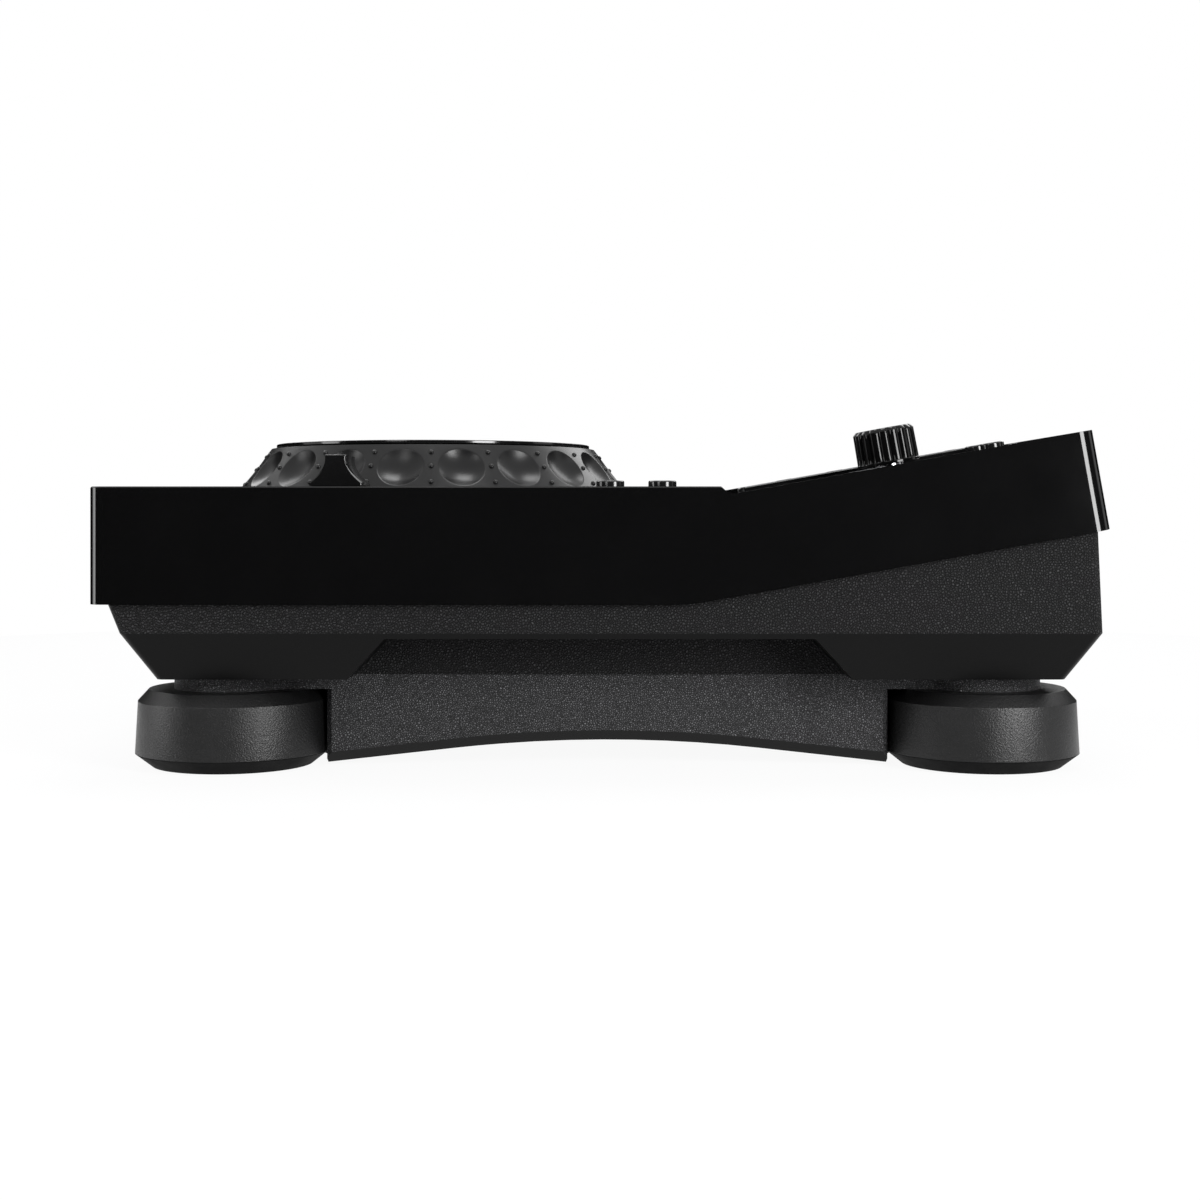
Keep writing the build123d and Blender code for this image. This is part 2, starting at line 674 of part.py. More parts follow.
def pockets(grow=0.0):
    """The two hand pockets in the tray's long sides, grown by a wall."""
    slant = POCKET_SLANT / (POCKET_TOP_Z - TRAY_LOW_Z)
    high = POCKET_TOP_Z + grow
    low = TRAY_LOW_Z - TRAY_WALL
    low_half = POCKET_HALF_TOP + slant * (POCKET_TOP_Z - low) + grow
    high_half = low_half - slant * (high - low)
    face = side_face([(-low_half, low), (-high_half, high), (high_half, high), (low_half, low)])
    middle = TRAY_HALF - POCKET_DEPTH - grow
    return across(face, TRAY_HALF + 1) - block((-middle, middle), (-FAR, FAR), (0, FAR))


def bay(grow, y_low, y_high):
    """A box the size of the rear bay, grown by a wall."""
    return block((-BAY_HALF - grow, BAY_HALF + grow), (y_low, y_high), (BAY_LOW_Z - grow, BAY_HIGH_Z + grow))


def main_post_spots():
    """Where posts carry the main board."""
    ys = (MAIN_BOARD_FRONT + MAIN_POST_INSET, MAIN_BOARD_REAR - MAIN_POST_INSET)
    return [(side * (MAIN_BOARD_HALF - MAIN_POST_INSET), y) for y in ys for side in (-1, 1)]


def jack_post_spots():
    """Where posts carry the socket board."""
    return [(side * (JACK_BOARD_HALF - MAIN_POST_INSET), JACK_BOARD_FRONT + MAIN_POST_INSET) for side in (-1, 1)]


def tray_bosses():
    """The posts that rise from the tray's floor."""
    floor = TRAY_LOW_Z + TRAY_WALL - 1
    foot_top = FOOT_SCREW_Z + FOOT_SCREW_LENGTH + TRAY_WALL
    bosses = [(spot, POST_RADIUS, POST_JOINT_Z) for spot in post_spots()]
    bosses += [(spot, FOOT_BOSS_RADIUS, foot_top) for spot in FOOT_SPOTS]
    bosses += [(spot, MAIN_POST_RADIUS, MAIN_BOARD_Z) for spot in main_post_spots()]
    bosses += [(spot, MAIN_POST_RADIUS, JACK_BOARD_Z - BOARD_THICK) for spot in jack_post_spots()]
    return [Pos(*spot) * rod(radius, floor, top) for spot, radius, top in bosses]


def tray():
    outer = tray_body(TRAY_LOW_Z, 0.0)
    cavity = tray_body(TRAY_LOW_Z + TRAY_WALL, TRAY_WALL)
    below = below_seam(SEAM)
    inside = cover_hollow(FIT_GAP) & below_seam(-TRAY_LIP_RISE)
    lip = inside - below_seam(-SEAM) - cavity
    neck = (inside & outer) - below_seam(2 * SEAM) - cavity
    shell = ((outer & below) - cavity) + lip + neck
    solid_parts = (pockets(TRAY_WALL) + bay(TRAY_WALL, REAR_PANEL_BACK - BAY_FRAME, REAR_Y)) & outer & below
    shell += solid_parts
    shell += tray_bosses()
    frame = bay(-BAY_FRAME, REAR_PANEL_BACK - BAY_FRAME - 1, REAR_PANEL_BACK + 1)
    shell -= [pockets(), bay(0, REAR_PANEL_BACK, REAR_Y + 1), frame]
    head_top = TRAY_LOW_Z + SCREW_SINK + SCREW_HEAD
    holes = [Pos(*spot) * rod(SCREW_RADIUS + SCREW_GAP, 0, POST_JOINT_Z + 1) for spot in post_spots()]
    holes += [Pos(*spot) * rod(SCREW_HEAD_RADIUS + SCREW_GAP, 0, head_top) for spot in post_spots()]
    foot_top = FOOT_SCREW_Z + FOOT_SCREW_LENGTH
    holes += [Pos(*spot) * rod(FOOT_SCREW_RADIUS + SCREW_GAP, 0, foot_top) for spot in FOOT_SPOTS]
    return shell - holes


def case_screws():
    """The screws of the case and of the feet."""
    low = TRAY_LOW_Z + SCREW_SINK
    screw = rod(SCREW_HEAD_RADIUS, low, low + SCREW_HEAD) + rod(SCREW_RADIUS, low, low + SCREW_LENGTH)
    foot = rod(FOOT_SCREW_HEAD_RADIUS, FOOT_SCREW_Z, FOOT_SCREW_Z + FOOT_SCREW_HEAD)
    foot += rod(FOOT_SCREW_RADIUS, FOOT_SCREW_Z, FOOT_SCREW_Z + FOOT_SCREW_LENGTH)
    return joined([Pos(*spot) * screw for spot in post_spots()] + [Pos(*spot) * foot for spot in FOOT_SPOTS])


def waisted(reach, sag):
    """A plan outline past the foot axes by a reach, each side drawn in by a sag."""
    x = FOOT_X + reach
    low, high = FOOT_YS[0] - reach, FOOT_YS[1] + reach
    mid = (low + high) / 2
    return make_face([
        ThreePointArc((x, low), (x - sag, mid), (x, high)),
        ThreePointArc((x, high), (0, high - sag), (-x, high)),
        ThreePointArc((-x, high), (-x + sag, mid), (-x, low)),
        ThreePointArc((-x, low), (0, low + sag), (x, low)),
    ])


def arch_face(half):
    """The space under an arch: a round crown that runs out in straight lines to both ends."""
    rise = ARCH_MID_Z - ARCH_END_Z
    radius = ARCH_ROUND * (half ** 2 + rise ** 2) / (2 * rise)
    centre = ARCH_MID_Z - radius
    reach = hypot(half, ARCH_END_Z - centre)
    touch = atan2(half, ARCH_END_Z - centre) - acos(radius / reach)
    x, z = radius * sin(touch), centre + radius * cos(touch)
    crown = ThreePointArc((-x, z), (0, ARCH_MID_Z), (x, z))
    rest = Polyline((x, z), (half, ARCH_END_Z), (half, -FAR / 2), (-half, -FAR / 2), (-half, ARCH_END_Z), (-x, z))
    return make_face([crown, rest])


def plinth_top():
    """The plinth's upper plan: the waisted outline and a round neck over each foot, blended together."""
    plan = Sketch() + [waisted(PLINTH_REACH, PLINTH_SAG)] + [Pos(*spot) * Circle(NECK_RADIUS) for spot in FOOT_SPOTS]
    widest = FOOT_X + PLINTH_REACH + 1
    corners = [v for v in plan.vertices() if foot_distance(v) > NECK_RADIUS - 0.01 and abs(v.X) < widest]
    return fillet(corners, NECK_BLEND)


def plinth():
    """A moulding open at the top, waisted between the feet and arched over the table."""
    deck = Pos(0, 0, FOOT_TOP_Z) * extrude(plinth_top(), TRAY_LOW_Z - FOOT_TOP_Z)
    web = Pos(0, 0, ARCH_END_Z) * extrude(waisted(PLINTH_REACH, PLINTH_SAG), TRAY_LOW_Z - ARCH_END_Z)
    side = arch_face(FOOT_YS[1] - FOOT_MID_Y - FOOT_RADIUS)
    web -= across(Pos(FOOT_MID_Y, 0) * side, FAR)
    end = arch_face(FOOT_X - FOOT_RADIUS)
    web -= Plane.XZ.location * Pos(0, 0, -FAR) * extrude(end, 2 * FAR)
    web -= [Pos(*spot) * rod(FOOT_RADIUS + FOOT_CLEAR, -1, FOOT_TOP_Z) for spot in FOOT_SPOTS]
    web = chamfer([e for e in web.edges() if at_foot_corner(e)], PLINTH_CORNER)
    web = chamfer([e for e in web.edges() if on_lower_side(e)], PLINTH_BEVEL)
    floor = ARCH_MID_Z + PLINTH_WALL
    inner = waisted(PLINTH_REACH - 2 * PLINTH_WALL, PLINTH_SAG)
    hollow = Pos(0, 0, floor) * extrude(inner, TRAY_LOW_Z - floor + 1)
    hollow -= [Pos(*spot) * rod(FOOT_RADIUS + FOOT_CLEAR + PLINTH_WALL, 0, FAR) for spot in FOOT_SPOTS]
    holes = [Pos(*spot) * rod(FOOT_SCREW_RADIUS + SCREW_GAP, 0, TRAY_LOW_Z + 1) for spot in FOOT_SPOTS]
    return web + deck - hollow - holes


def foot_distance(point):
    """How far a point lies from the nearest foot's axis."""
    return min(hypot(point.X - x, point.Y - y) for x, y in FOOT_SPOTS)


def at_foot_corner(edge):
    """Whether an edge is an upright corner of a long side beside a foot."""
    middle = edge.center()
    inward = abs(middle.Y - FOOT_MID_Y) < FOOT_YS[1] - FOOT_MID_Y
    return abs(middle.X) > FOOT_X and inward and abs(edge.tangent_at(0.5).Z) > 0.99


def on_lower_side(edge):
    """Whether an edge is part of the lower border of a long side."""
    middle = edge.center()
    span = FOOT_X + PLINTH_REACH - PLINTH_SAG - 1
    return abs(middle.X) > span and middle.Z < ARCH_MID_Z + 0.1 and abs(edge.tangent_at(0.5).Y) > 0.9


def foot():
    """A hollow plastic foot with a boss for its screw."""
    outer = turned([(0, PAD_THICK), (FOOT_RADIUS, PAD_THICK), (FOOT_RADIUS - FOOT_TAPER, FOOT_BEVEL_Z),
                    (FOOT_CROWN_RADIUS, FOOT_TOP_Z), (0, FOOT_TOP_Z)])
    ceiling = FOOT_TOP_Z - FOOT_WALL
    shell = outer - rod(FOOT_CROWN_RADIUS - FOOT_WALL, PAD_THICK - 1, ceiling)
    shell += rod(FOOT_BOSS_RADIUS, FOOT_SCREW_Z + FOOT_SCREW_HEAD, ceiling + 1)
    return shell - rod(FOOT_SCREW_RADIUS + SCREW_GAP, 0, FOOT_TOP_Z + 1)


def foot_pad():
    """A rubber pad under a foot, bevelled at the table."""
    disc = turned([(0, 0), (PAD_RADIUS, 0), (FOOT_RADIUS, PAD_THICK), (0, PAD_THICK)])
    return disc - rod(PAD_HOLE_RADIUS, -1, PAD_THICK + 1)


def jog_cone_radius(z):
    """The jog wheel's outer radius at a height."""
    return JOG_RADIUS + (JOG_TOP_RADIUS - JOG_RADIUS) * (z - DECK_Z) / (JOG_TOP_Z - DECK_Z)


def jog_ring():
    """The dimpled wheel, hollow below, with a hub on the shaft."""
    low = DECK_Z - JOG_SKIRT
    rise = JOG_TOP_Z - DECK_Z
    inward = JOG_RADIUS - JOG_TOP_RADIUS
    slant = hypot(rise, inward)
    level_wall = JOG_WALL * slant / rise
    web_low = JOG_TOP_Z - JOG_WEB
    ring = turned([(0, web_low), (jog_cone_radius(web_low) - level_wall, web_low),
                   (JOG_RADIUS - level_wall, DECK_Z), (JOG_RADIUS - level_wall, low),
                   (JOG_RADIUS, low), (JOG_RADIUS, DECK_Z), (JOG_TOP_RADIUS, JOG_TOP_Z), (0, JOG_TOP_Z)])
    ring += rod(JOG_HUB_RADIUS, COLLAR_Z + SHAFT_COLLAR, JOG_TOP_Z - 1)
    ball = (DIMPLE_RADIUS ** 2 + DIMPLE_DEPTH ** 2) / (2 * DIMPLE_DEPTH)
    out = ball - DIMPLE_DEPTH
    reach = jog_cone_radius(DIMPLE_Z) + out * rise / slant
    height = DIMPLE_Z + out * inward / slant
    step = 360 / DIMPLES
    ring -= [Rot(0, 0, (n + 0.5) * step) * Pos(reach, 0, height) * Sphere(ball) for n in range(DIMPLES)]
    ring += [Rot(0, 0, n * step) * Pos(jog_cone_radius(z), 0, z) * Sphere(STUD_RADIUS)
             for n in range(DIMPLES) for z in STUD_HEIGHTS]
    ring -= rod(SHAFT_RADIUS + RUNNING_GAP, 0, SHAFT_TOP_Z)
    ring -= rod(PLATE_PIN_RADIUS + RUNNING_GAP, SHAFT_TOP_Z - 1, JOG_TOP_Z + 1)
    return Pos(0, JOG_Y, 0) * Rot(0, 0, DIMPLE_TURN) * ring


def jog_plate():
    """The touch plate on top of the wheel, guided by a pin in the hub."""
    disc = rod(PLATE_RADIUS, PLATE_Z, PLATE_Z + PLATE_THICK)
    disc = chamfer(disc.edges().sort_by(Axis.Z)[-1], PLATE_BEVEL)
    return Pos(0, JOG_Y, 0) * (disc + rod(PLATE_PIN_RADIUS, PLATE_Z - PLATE_PIN_LENGTH, PLATE_Z))


def jog_shaft():
    """The wheel's shaft, with a collar on the upper bearing and a seat for the code disc."""
    shaft = rod(SHAFT_RADIUS, CODE_DISC_Z - CODE_DISC_THICK, SHAFT_TOP_Z)
    collar = rod(SHAFT_COLLAR_RADIUS, COLLAR_Z, COLLAR_Z + SHAFT_COLLAR)
    seat = rod(SHAFT_COLLAR_RADIUS, CODE_DISC_Z, CODE_DISC_Z + CODE_DISC_DROP / 2)
    return Pos(0, JOG_Y, 0) * (shaft + collar + seat)


def jog_base():
    """A dish fixed under the deck, with a housing for the two bearings."""
    dish = rod(JOG_WELL_RADIUS + BASE_FLANGE, BASE_Z - BASE_THICK, DECK_UNDER_Z)
    dish -= rod(JOG_WELL_RADIUS, BASE_Z, DECK_UNDER_Z + 1)
    bore = BEARING_RADIUS + RUNNING_GAP
    dish += rod(bore + HUB_WALL, HUB_LOW_Z, BASE_Z)
    dish -= rod(bore, BASE_Z - BEARING_WIDTH, BASE_Z + 1)
    dish -= rod(bore, HUB_LOW_Z - 1, HUB_LOW_Z + BEARING_WIDTH)
    return Pos(0, JOG_Y, 0) * (dish - rod(bore - BEARING_LEDGE, HUB_LOW_Z - 1, BASE_Z + 1))


def jog_bearings():
    ring = pipe(BEARING_RADIUS, SHAFT_RADIUS + RUNNING_GAP, 0, BEARING_WIDTH)
    return joined([Pos(0, JOG_Y, z) * ring for z in (HUB_LOW_Z, BASE_Z - BEARING_WIDTH)])


def code_disc():
    """The slotted disc that the sensor reads."""
    disc = pipe(CODE_DISC_RADIUS, SHAFT_RADIUS + RUNNING_GAP, CODE_DISC_Z - CODE_DISC_THICK, CODE_DISC_Z)
    slit = block((CODE_DISC_RADIUS - 1.5 * CODE_SLIT_LENGTH, CODE_DISC_RADIUS - 0.5 * CODE_SLIT_LENGTH),
                 (-CODE_SLIT_WIDTH / 2, CODE_SLIT_WIDTH / 2), (CODE_DISC_Z - 2, CODE_DISC_Z + 1))
    disc -= [Rot(0, 0, n * 360 / CODE_SLITS) * slit for n in range(CODE_SLITS)]
    return Pos(0, JOG_Y, 0) * disc


def jog_sensor():
    """A forked light gate on the main board, round the code disc's edge."""
    depth = 2 * CODE_SLIT_LENGTH
    inner = CODE_DISC_RADIUS - depth
    post = block((inner, CODE_DISC_RADIUS + depth), (-depth / 2, depth / 2),
                 (MAIN_BOARD_TOP, CODE_DISC_Z + CODE_DISC_DROP - SENSOR_GAP))
    gap = block((inner - 1, CODE_DISC_RADIUS + SENSOR_GAP), (-depth, depth),
                (CODE_DISC_Z - CODE_DISC_THICK - SENSOR_GAP, CODE_DISC_Z + SENSOR_GAP))
    return Pos(0, JOG_Y, 0) * (post - gap)


def tempo_cap():
    """The slider's grip, waisted to a narrow flat top, with a socket for the lever."""
    foot_z = CAP_GAP + CAP_FOOT
    bow = (CAP_FLARE_HALF + CAP_TOP_HALF) / 2 - CAP_FLARE_BOW
    mid = (foot_z + CAP_HEIGHT - CAP_FLARE_BOW) / 2
    outline = make_face([
        Line((-CAP_FLARE_HALF, CAP_GAP), (CAP_FLARE_HALF, CAP_GAP)),
        Line((CAP_FLARE_HALF, CAP_GAP), (CAP_FLARE_HALF, foot_z)),
        ThreePointArc((CAP_FLARE_HALF, foot_z), (bow, mid), (CAP_TOP_HALF, CAP_HEIGHT)),
        Line((CAP_TOP_HALF, CAP_HEIGHT), (-CAP_TOP_HALF, CAP_HEIGHT)),
        ThreePointArc((-CAP_TOP_HALF, CAP_HEIGHT), (-bow, mid), (-CAP_FLARE_HALF, foot_z)),
        Line((-CAP_FLARE_HALF, foot_z), (-CAP_FLARE_HALF, CAP_GAP)),
    ])
    cap = across(outline, CAP_WIDTH / 2)
    cap = chamfer(cap.faces().sort_by(Axis.Z)[-1].edges(), CAP_BEVEL)
    socket = slab(LEVER_THICK + 2 * RUNNING_GAP, LEVER_LENGTH + 2 * RUNNING_GAP, 0, CAP_SOCKET_DEPTH)
    return deck_spot(STRIP_X, TEMPO_Y) * (cap - socket)


def tempo_carriage():
    """The slider's carriage inside the fader, with the lever that carries the cap."""
    low = -COVER_WALL - FADER_HEIGHT + FADER_WALL + FIT_GAP
    carriage = slab(FADER_WIDTH - 2 * (FADER_WALL + FIT_GAP), CARRIAGE_LENGTH, low, low + CARRIAGE_HEIGHT)
    lever = slab(LEVER_THICK, LEVER_LENGTH, low, CAP_SOCKET_DEPTH - FIT_GAP)
    return deck_spot(STRIP_X, TEMPO_Y) * (carriage + lever)


def tempo_fader():
    """The slide control's metal case under the deck."""
    length = 2 * TEMPO_TRAVEL + CARRIAGE_LENGTH + 2 * FADER_WALL + FADER_END
    low = -COVER_WALL - FADER_HEIGHT
    inner = FADER_WIDTH - 2 * FADER_WALL
    case = slab(FADER_WIDTH, length, low, -COVER_WALL)
    hollow = slab(inner, length - 2 * FADER_WALL, low + FADER_WALL, -COVER_WALL - FADER_WALL)
    slot = slab(SLOT_WIDTH, 2 * TEMPO_TRAVEL + LEVER_LENGTH + 2 * SLOT_END, low + FADER_WALL, 0)
    return deck_spot(STRIP_X, TEMPO_Y) * (case - hollow - slot)


def selector_knob():
    """The fluted knob, hollow below for the bushing."""
    top_radius = SELECTOR_RADIUS - SELECTOR_TAPER
    knob = turned([(0, SELECTOR_LIFT), (SELECTOR_RADIUS, SELECTOR_LIFT), (top_radius, SELECTOR_TOP - SELECTOR_BEVEL),
                   (top_radius - SELECTOR_BEVEL, SELECTOR_TOP), (0, SELECTOR_TOP)])
    flute = Pos(SELECTOR_RADIUS + SELECTOR_FLUTE_RADIUS / 3, 0, 0) * rod(
        SELECTOR_FLUTE_RADIUS, SELECTOR_LIFT + SELECTOR_FLUTE_RIM, SELECTOR_TOP + 1)
    knob -= [Rot(0, 0, n * 360 / SELECTOR_FLUTES) * flute for n in range(SELECTOR_FLUTES)]
    knob -= rod(BUSHING_RADIUS + KEY_GAP, 0, BUSHING_RISE + SELECTOR_TRAVEL + FIT_GAP)
    return selector_place() * (knob - rod(SELECTOR_SHAFT_RADIUS + RUNNING_GAP, 0, SELECTOR_TOP - SELECTOR_CAP))


def selector_shaft():
    top = SELECTOR_TOP - SELECTOR_CAP - RUNNING_GAP
    return selector_place() * rod(SELECTOR_SHAFT_RADIUS, PLUNGER_LOW + PLUNGER_THICK, top)


def selector_plunger():
    """The push switch's plunger under the shaft."""
    return selector_place() * rod(SELECTOR_SHAFT_RADIUS, PLUNGER_LOW, PLUNGER_LOW + PLUNGER_THICK)


def selector_encoder():
    """The rotary switch under the panel, with the bushing that guides the shaft."""
    body = slab(ENCODER_SIDE, ENCODER_SIDE, KEY_BOARD_TOP, -COVER_WALL) + rod(BUSHING_RADIUS, -COVER_WALL, BUSHING_RISE)
    return selector_place() * (body - rod(SELECTOR_SHAFT_RADIUS + RUNNING_GAP, KEY_BOARD_TOP + ENCODER_FLOOR, FAR))


def screen_bezel():
    """The frame round the screen, lying on the panel, with a skirt through the panel's hole."""
    lap = 2 * (BEZEL_LAP + KEY_GAP)
    frame = slab(SCREEN_WIDTH, SCREEN_LENGTH, 0, BEZEL_PROUD, SCREEN_CORNER)
    frame = chamfer(frame.faces().sort_by(Axis.Z)[-1].edges(), GLASS_SINK)
    frame += slab(SCREEN_WIDTH - lap, SCREEN_LENGTH - lap, -BEZEL_SKIRT, 0, SCREEN_CORNER - KEY_GAP)
    inset = lap + 2 * BEZEL_WALL
    opening = slab(SCREEN_WIDTH - inset, SCREEN_LENGTH - inset, -BEZEL_SKIRT - 1, BEZEL_PROUD + 1)
    return screen_place() * (frame - opening)


def inside_bezel(low, high):
    """A plate that fits inside the bezel."""
    inset = 2 * (BEZEL_LAP + KEY_GAP + BEZEL_WALL + SCREEN_GAP)
    return screen_place() * slab(SCREEN_WIDTH - inset, SCREEN_LENGTH - inset, low, high)


def screen_glass():
    top = BEZEL_PROUD - GLASS_SINK
    return inside_bezel(top - GLASS_THICK, top)


def screen_module():
    """The display behind the glass."""
    return inside_bezel(-BEZEL_SKIRT, BEZEL_PROUD - GLASS_SINK - GLASS_THICK)


def screen_bracket():
    """The metal tray that holds the display against the panel."""
    plate = slab(SCREEN_WIDTH, SCREEN_LENGTH, -BEZEL_SKIRT - BRACKET_THICK, -COVER_WALL)
    rails = 2 * BRACKET_RAIL
    return screen_place() * (plate - slab(SCREEN_WIDTH - rails, SCREEN_LENGTH - rails, -BEZEL_SKIRT, 0))


def light_rings():
    """The lit rings round the two large keys."""
    inner = TRANSPORT_RADIUS + KEY_GAP
    ring = pipe(inner + LIGHT_RING - SCREEN_GAP, inner, -COVER_WALL, SCREEN_GAP)
    return joined([key.spot * ring for name, key in deck_keys().items() if name in LIT_KEYS])


def key_switches():
    return joined([key.switch() for key in all_keys().values()])


def board(x, y):
    """A key board between two bounds each way, at its depth under the cover."""
    return block(x, y, (KEY_BOARD_TOP - BOARD_THICK, KEY_BOARD_TOP))


def deck_key_boards():
    """The boards under the deck's keys: an L on the left, a plate on the right."""
    edge = HALF_WIDTH - COVER_WALL - BOARD_MARGIN
    inner = JOG_WELL_RADIUS + BASE_FLANGE + BOARD_MARGIN
    front = PLAY_Y - TRANSPORT_RADIUS - 4 * BOARD_POST_RADIUS
    low, high = LOOP_Y - SWITCH_SIDE, LOOP_Y + SWITCH_SIDE
    row_end = -STRIP_X + 3 * LOOP_PITCH + SWITCH_SIDE
    left = board((-edge, -inner), (front, high)) + board((-inner - 1, row_end), (low, high))
    right_low = TEMPO_KEY_Y - 2 * TEMPO_KEY_RADIUS - 2 * BOARD_POST_RADIUS
    right_high = TEMPO_KEY_Y + TEMPO_KEY_PITCH + 2 * TEMPO_KEY_RADIUS + 2 * BOARD_POST_RADIUS
    right = board((STRIP_X - 2 * SWITCH_SIDE, STRIP_X + 2 * SWITCH_SIDE), (right_low, right_high))
    return joined([Pos(0, 0, DECK_Z) * left, Pos(0, 0, DECK_Z) * right])


def panel_key_boards():
    """The boards under the panel's keys, the selector and the memory stick's socket."""
    menu = board((MENU_X - MENU_WIDTH / 2, MENU_X + MENU_WIDTH / 2),
                 (MENU_S - MENU_PITCH, MENU_S + MENU_PITCH + 2 * BOARD_POST_RADIUS))
    half = LIST_KEY_PITCH / 2 + SWITCH_SIDE
    lists = board((SELECTOR_X - half, SELECTOR_X + half),
                  (SELECTOR_S - ENCODER_SIDE / 2 - BOARD_MARGIN, LIST_KEY_S + SWITCH_SIDE))
    stick = board((STICK_X - STICK_WIDTH, STOP_KEY_X + 2 * STOP_KEY_RADIUS + 3 * BOARD_POST_RADIUS),
                  (SCREEN_S + SCREEN_LENGTH + 1, PANEL_LENGTH - COVER_WALL - 1))
    grow = 2 * (STICK_WALL + SOCKET_GAP)
    stick -= Pos(STICK_X, STICK_S, 0) * slab(STICK_WIDTH + grow, STICK_HEIGHT + grow, -FAR, 0)
    return joined([slope_spot(0, 0) * piece for piece in (menu, lists, stick)])


def stick_socket():
    """The upright socket for a memory stick, its mouth level with the panel."""
    shell = slab(STICK_WIDTH + 2 * STICK_WALL, STICK_HEIGHT + 2 * STICK_WALL, -STICK_LENGTH, 0)
    shell -= slab(STICK_WIDTH, STICK_HEIGHT, STICK_FLOOR - STICK_LENGTH, 1)
    side = STICK_HEIGHT / 2 - STICK_TONGUE_THICK
    tongue = Pos(0, side, 0) * slab(STICK_TONGUE_WIDTH, STICK_TONGUE_THICK, 1 - STICK_LENGTH, -STICK_TONGUE_SINK)
    return slope_spot(STICK_X, STICK_S) * (shell + tongue)


def main_board():
    """The main circuit board with its chips."""
    plate = block((-MAIN_BOARD_HALF, MAIN_BOARD_HALF), (MAIN_BOARD_FRONT, MAIN_BOARD_REAR),
                  (MAIN_BOARD_Z, MAIN_BOARD_TOP))
    memory_x = CHIP_X + 2 * CHIP_SIDE
    for x, y, side in ((CHIP_X, CHIP_Y, CHIP_SIDE), (memory_x, CHIP_Y, CHIP_SIDE / 2),
                       (memory_x, CHIP_Y + CHIP_SIDE, CHIP_SIDE / 2)):
        plate += Pos(x, y, 0) * slab(side, side, MAIN_BOARD_Z, MAIN_BOARD_TOP + CHIP_HEIGHT)
    return plate


def heat_sink():
    low = MAIN_BOARD_TOP + CHIP_HEIGHT
    sink = slab(SINK_SIDE, SINK_SIDE, low, low + SINK_BASE)
    pitch = (SINK_SIDE - SINK_FIN) / (SINK_FINS - 1)
    fin = slab(SINK_FIN, SINK_SIDE, low, low + SINK_HEIGHT)
    sink += [Pos((SINK_FIN - SINK_SIDE) / 2 + n * pitch, 0, 0) * fin for n in range(SINK_FINS)]
    return Pos(CHIP_X, CHIP_Y, 0) * sink


def socket_box(width, height, length, x):
    """A socket's body on its board, its face level with the rear panel's."""
    return block((x - width / 2, x + width / 2), (REAR_PANEL_Y - length, REAR_PANEL_Y),
                 (JACK_BOARD_Z, SOCKET_Z + height / 2))


def rear_rod(radius, x, y_low, y_high):
    """A round bar along Y at the sockets' height."""
    return Pos(x, y_high, SOCKET_Z) * Rot(90, 0, 0) * rod(radius, 0, y_high - y_low)


def mouth(width, height, depth, x):
    """A rectangular mouth sunk in from the rear panel's face."""
    return block((x - width / 2, x + width / 2), (REAR_PANEL_Y - depth, REAR_PANEL_Y + 1),
                 (SOCKET_Z - height / 2, SOCKET_Z + height / 2))


def rca_xs():
    """Where the two audio sockets are."""
    return (RCA_X - RCA_PITCH / 2, RCA_X + RCA_PITCH / 2)


def jack_panel():
    """The plate at the back of the bay, with a hole for each socket."""
    plate = bay(-SOCKET_GAP, REAR_PANEL_BACK, REAR_PANEL_Y)
    through = (REAR_PANEL_BACK - 1, REAR_PANEL_Y + 1)
    for width, height, x in ((LINK_WIDTH, LINK_HEIGHT, LINK_X), (USB_B_WIDTH, USB_B_HEIGHT, USB_B_X),
                             (INLET_WIDTH, INLET_HEIGHT, INLET_X)):
        half = width / 2 + SOCKET_GAP
        plate -= block((x - half, x + half), through, (JACK_BOARD_Z - SOCKET_GAP, SOCKET_Z + height / 2 + SOCKET_GAP))
    plate -= [rear_rod(RCA_RADIUS + SOCKET_GAP, x, *through) for x in rca_xs()]
    return plate - mouth(POWER_WIDTH + 2 * POWER_GAP, POWER_HEIGHT + 2 * POWER_GAP, 2 * REAR_PANEL_THICK, SWITCH_X)


def rca_sockets():
    """The two round audio sockets."""
    half = RCA_BODY_WIDTH / 2
    sockets = []
    for x in rca_xs():
        body = block((x - half, x + half), (REAR_PANEL_BACK - RCA_BODY_LENGTH, REAR_PANEL_BACK),
                     (JACK_BOARD_Z, SOCKET_Z + half))
        body += rear_rod(RCA_RADIUS, x, REAR_PANEL_BACK - 1, REAR_PANEL_Y + RCA_LENGTH)
        body += rear_rod(RCA_RING_RADIUS, x, REAR_PANEL_Y, REAR_PANEL_Y + RCA_RING)
        sockets.append(body - rear_rod(RCA_BORE, x, REAR_PANEL_BACK - RCA_BODY_LENGTH / 2, REAR_Y + 1))
    return joined(sockets)


def link_socket():
    """The network socket."""
    body = socket_box(LINK_WIDTH, LINK_HEIGHT, LINK_LENGTH, LINK_X)
    return body - mouth(LINK_MOUTH_WIDTH, LINK_MOUTH_HEIGHT, LINK_MOUTH_DEPTH, LINK_X)


def usb_b_socket():
    """The square data socket with its tongue."""
    body = socket_box(USB_B_WIDTH, USB_B_HEIGHT, USB_B_LENGTH, USB_B_X)
    body -= mouth(USB_B_MOUTH, USB_B_MOUTH, SOCKET_DEPTH, USB_B_X)
    tongue = mouth(USB_B_TONGUE_WIDTH, USB_B_TONGUE_HEIGHT, SOCKET_DEPTH + 1, USB_B_X)
    return body + Pos(0, -1 - SOCKET_PIN_SINK, 0) * tongue


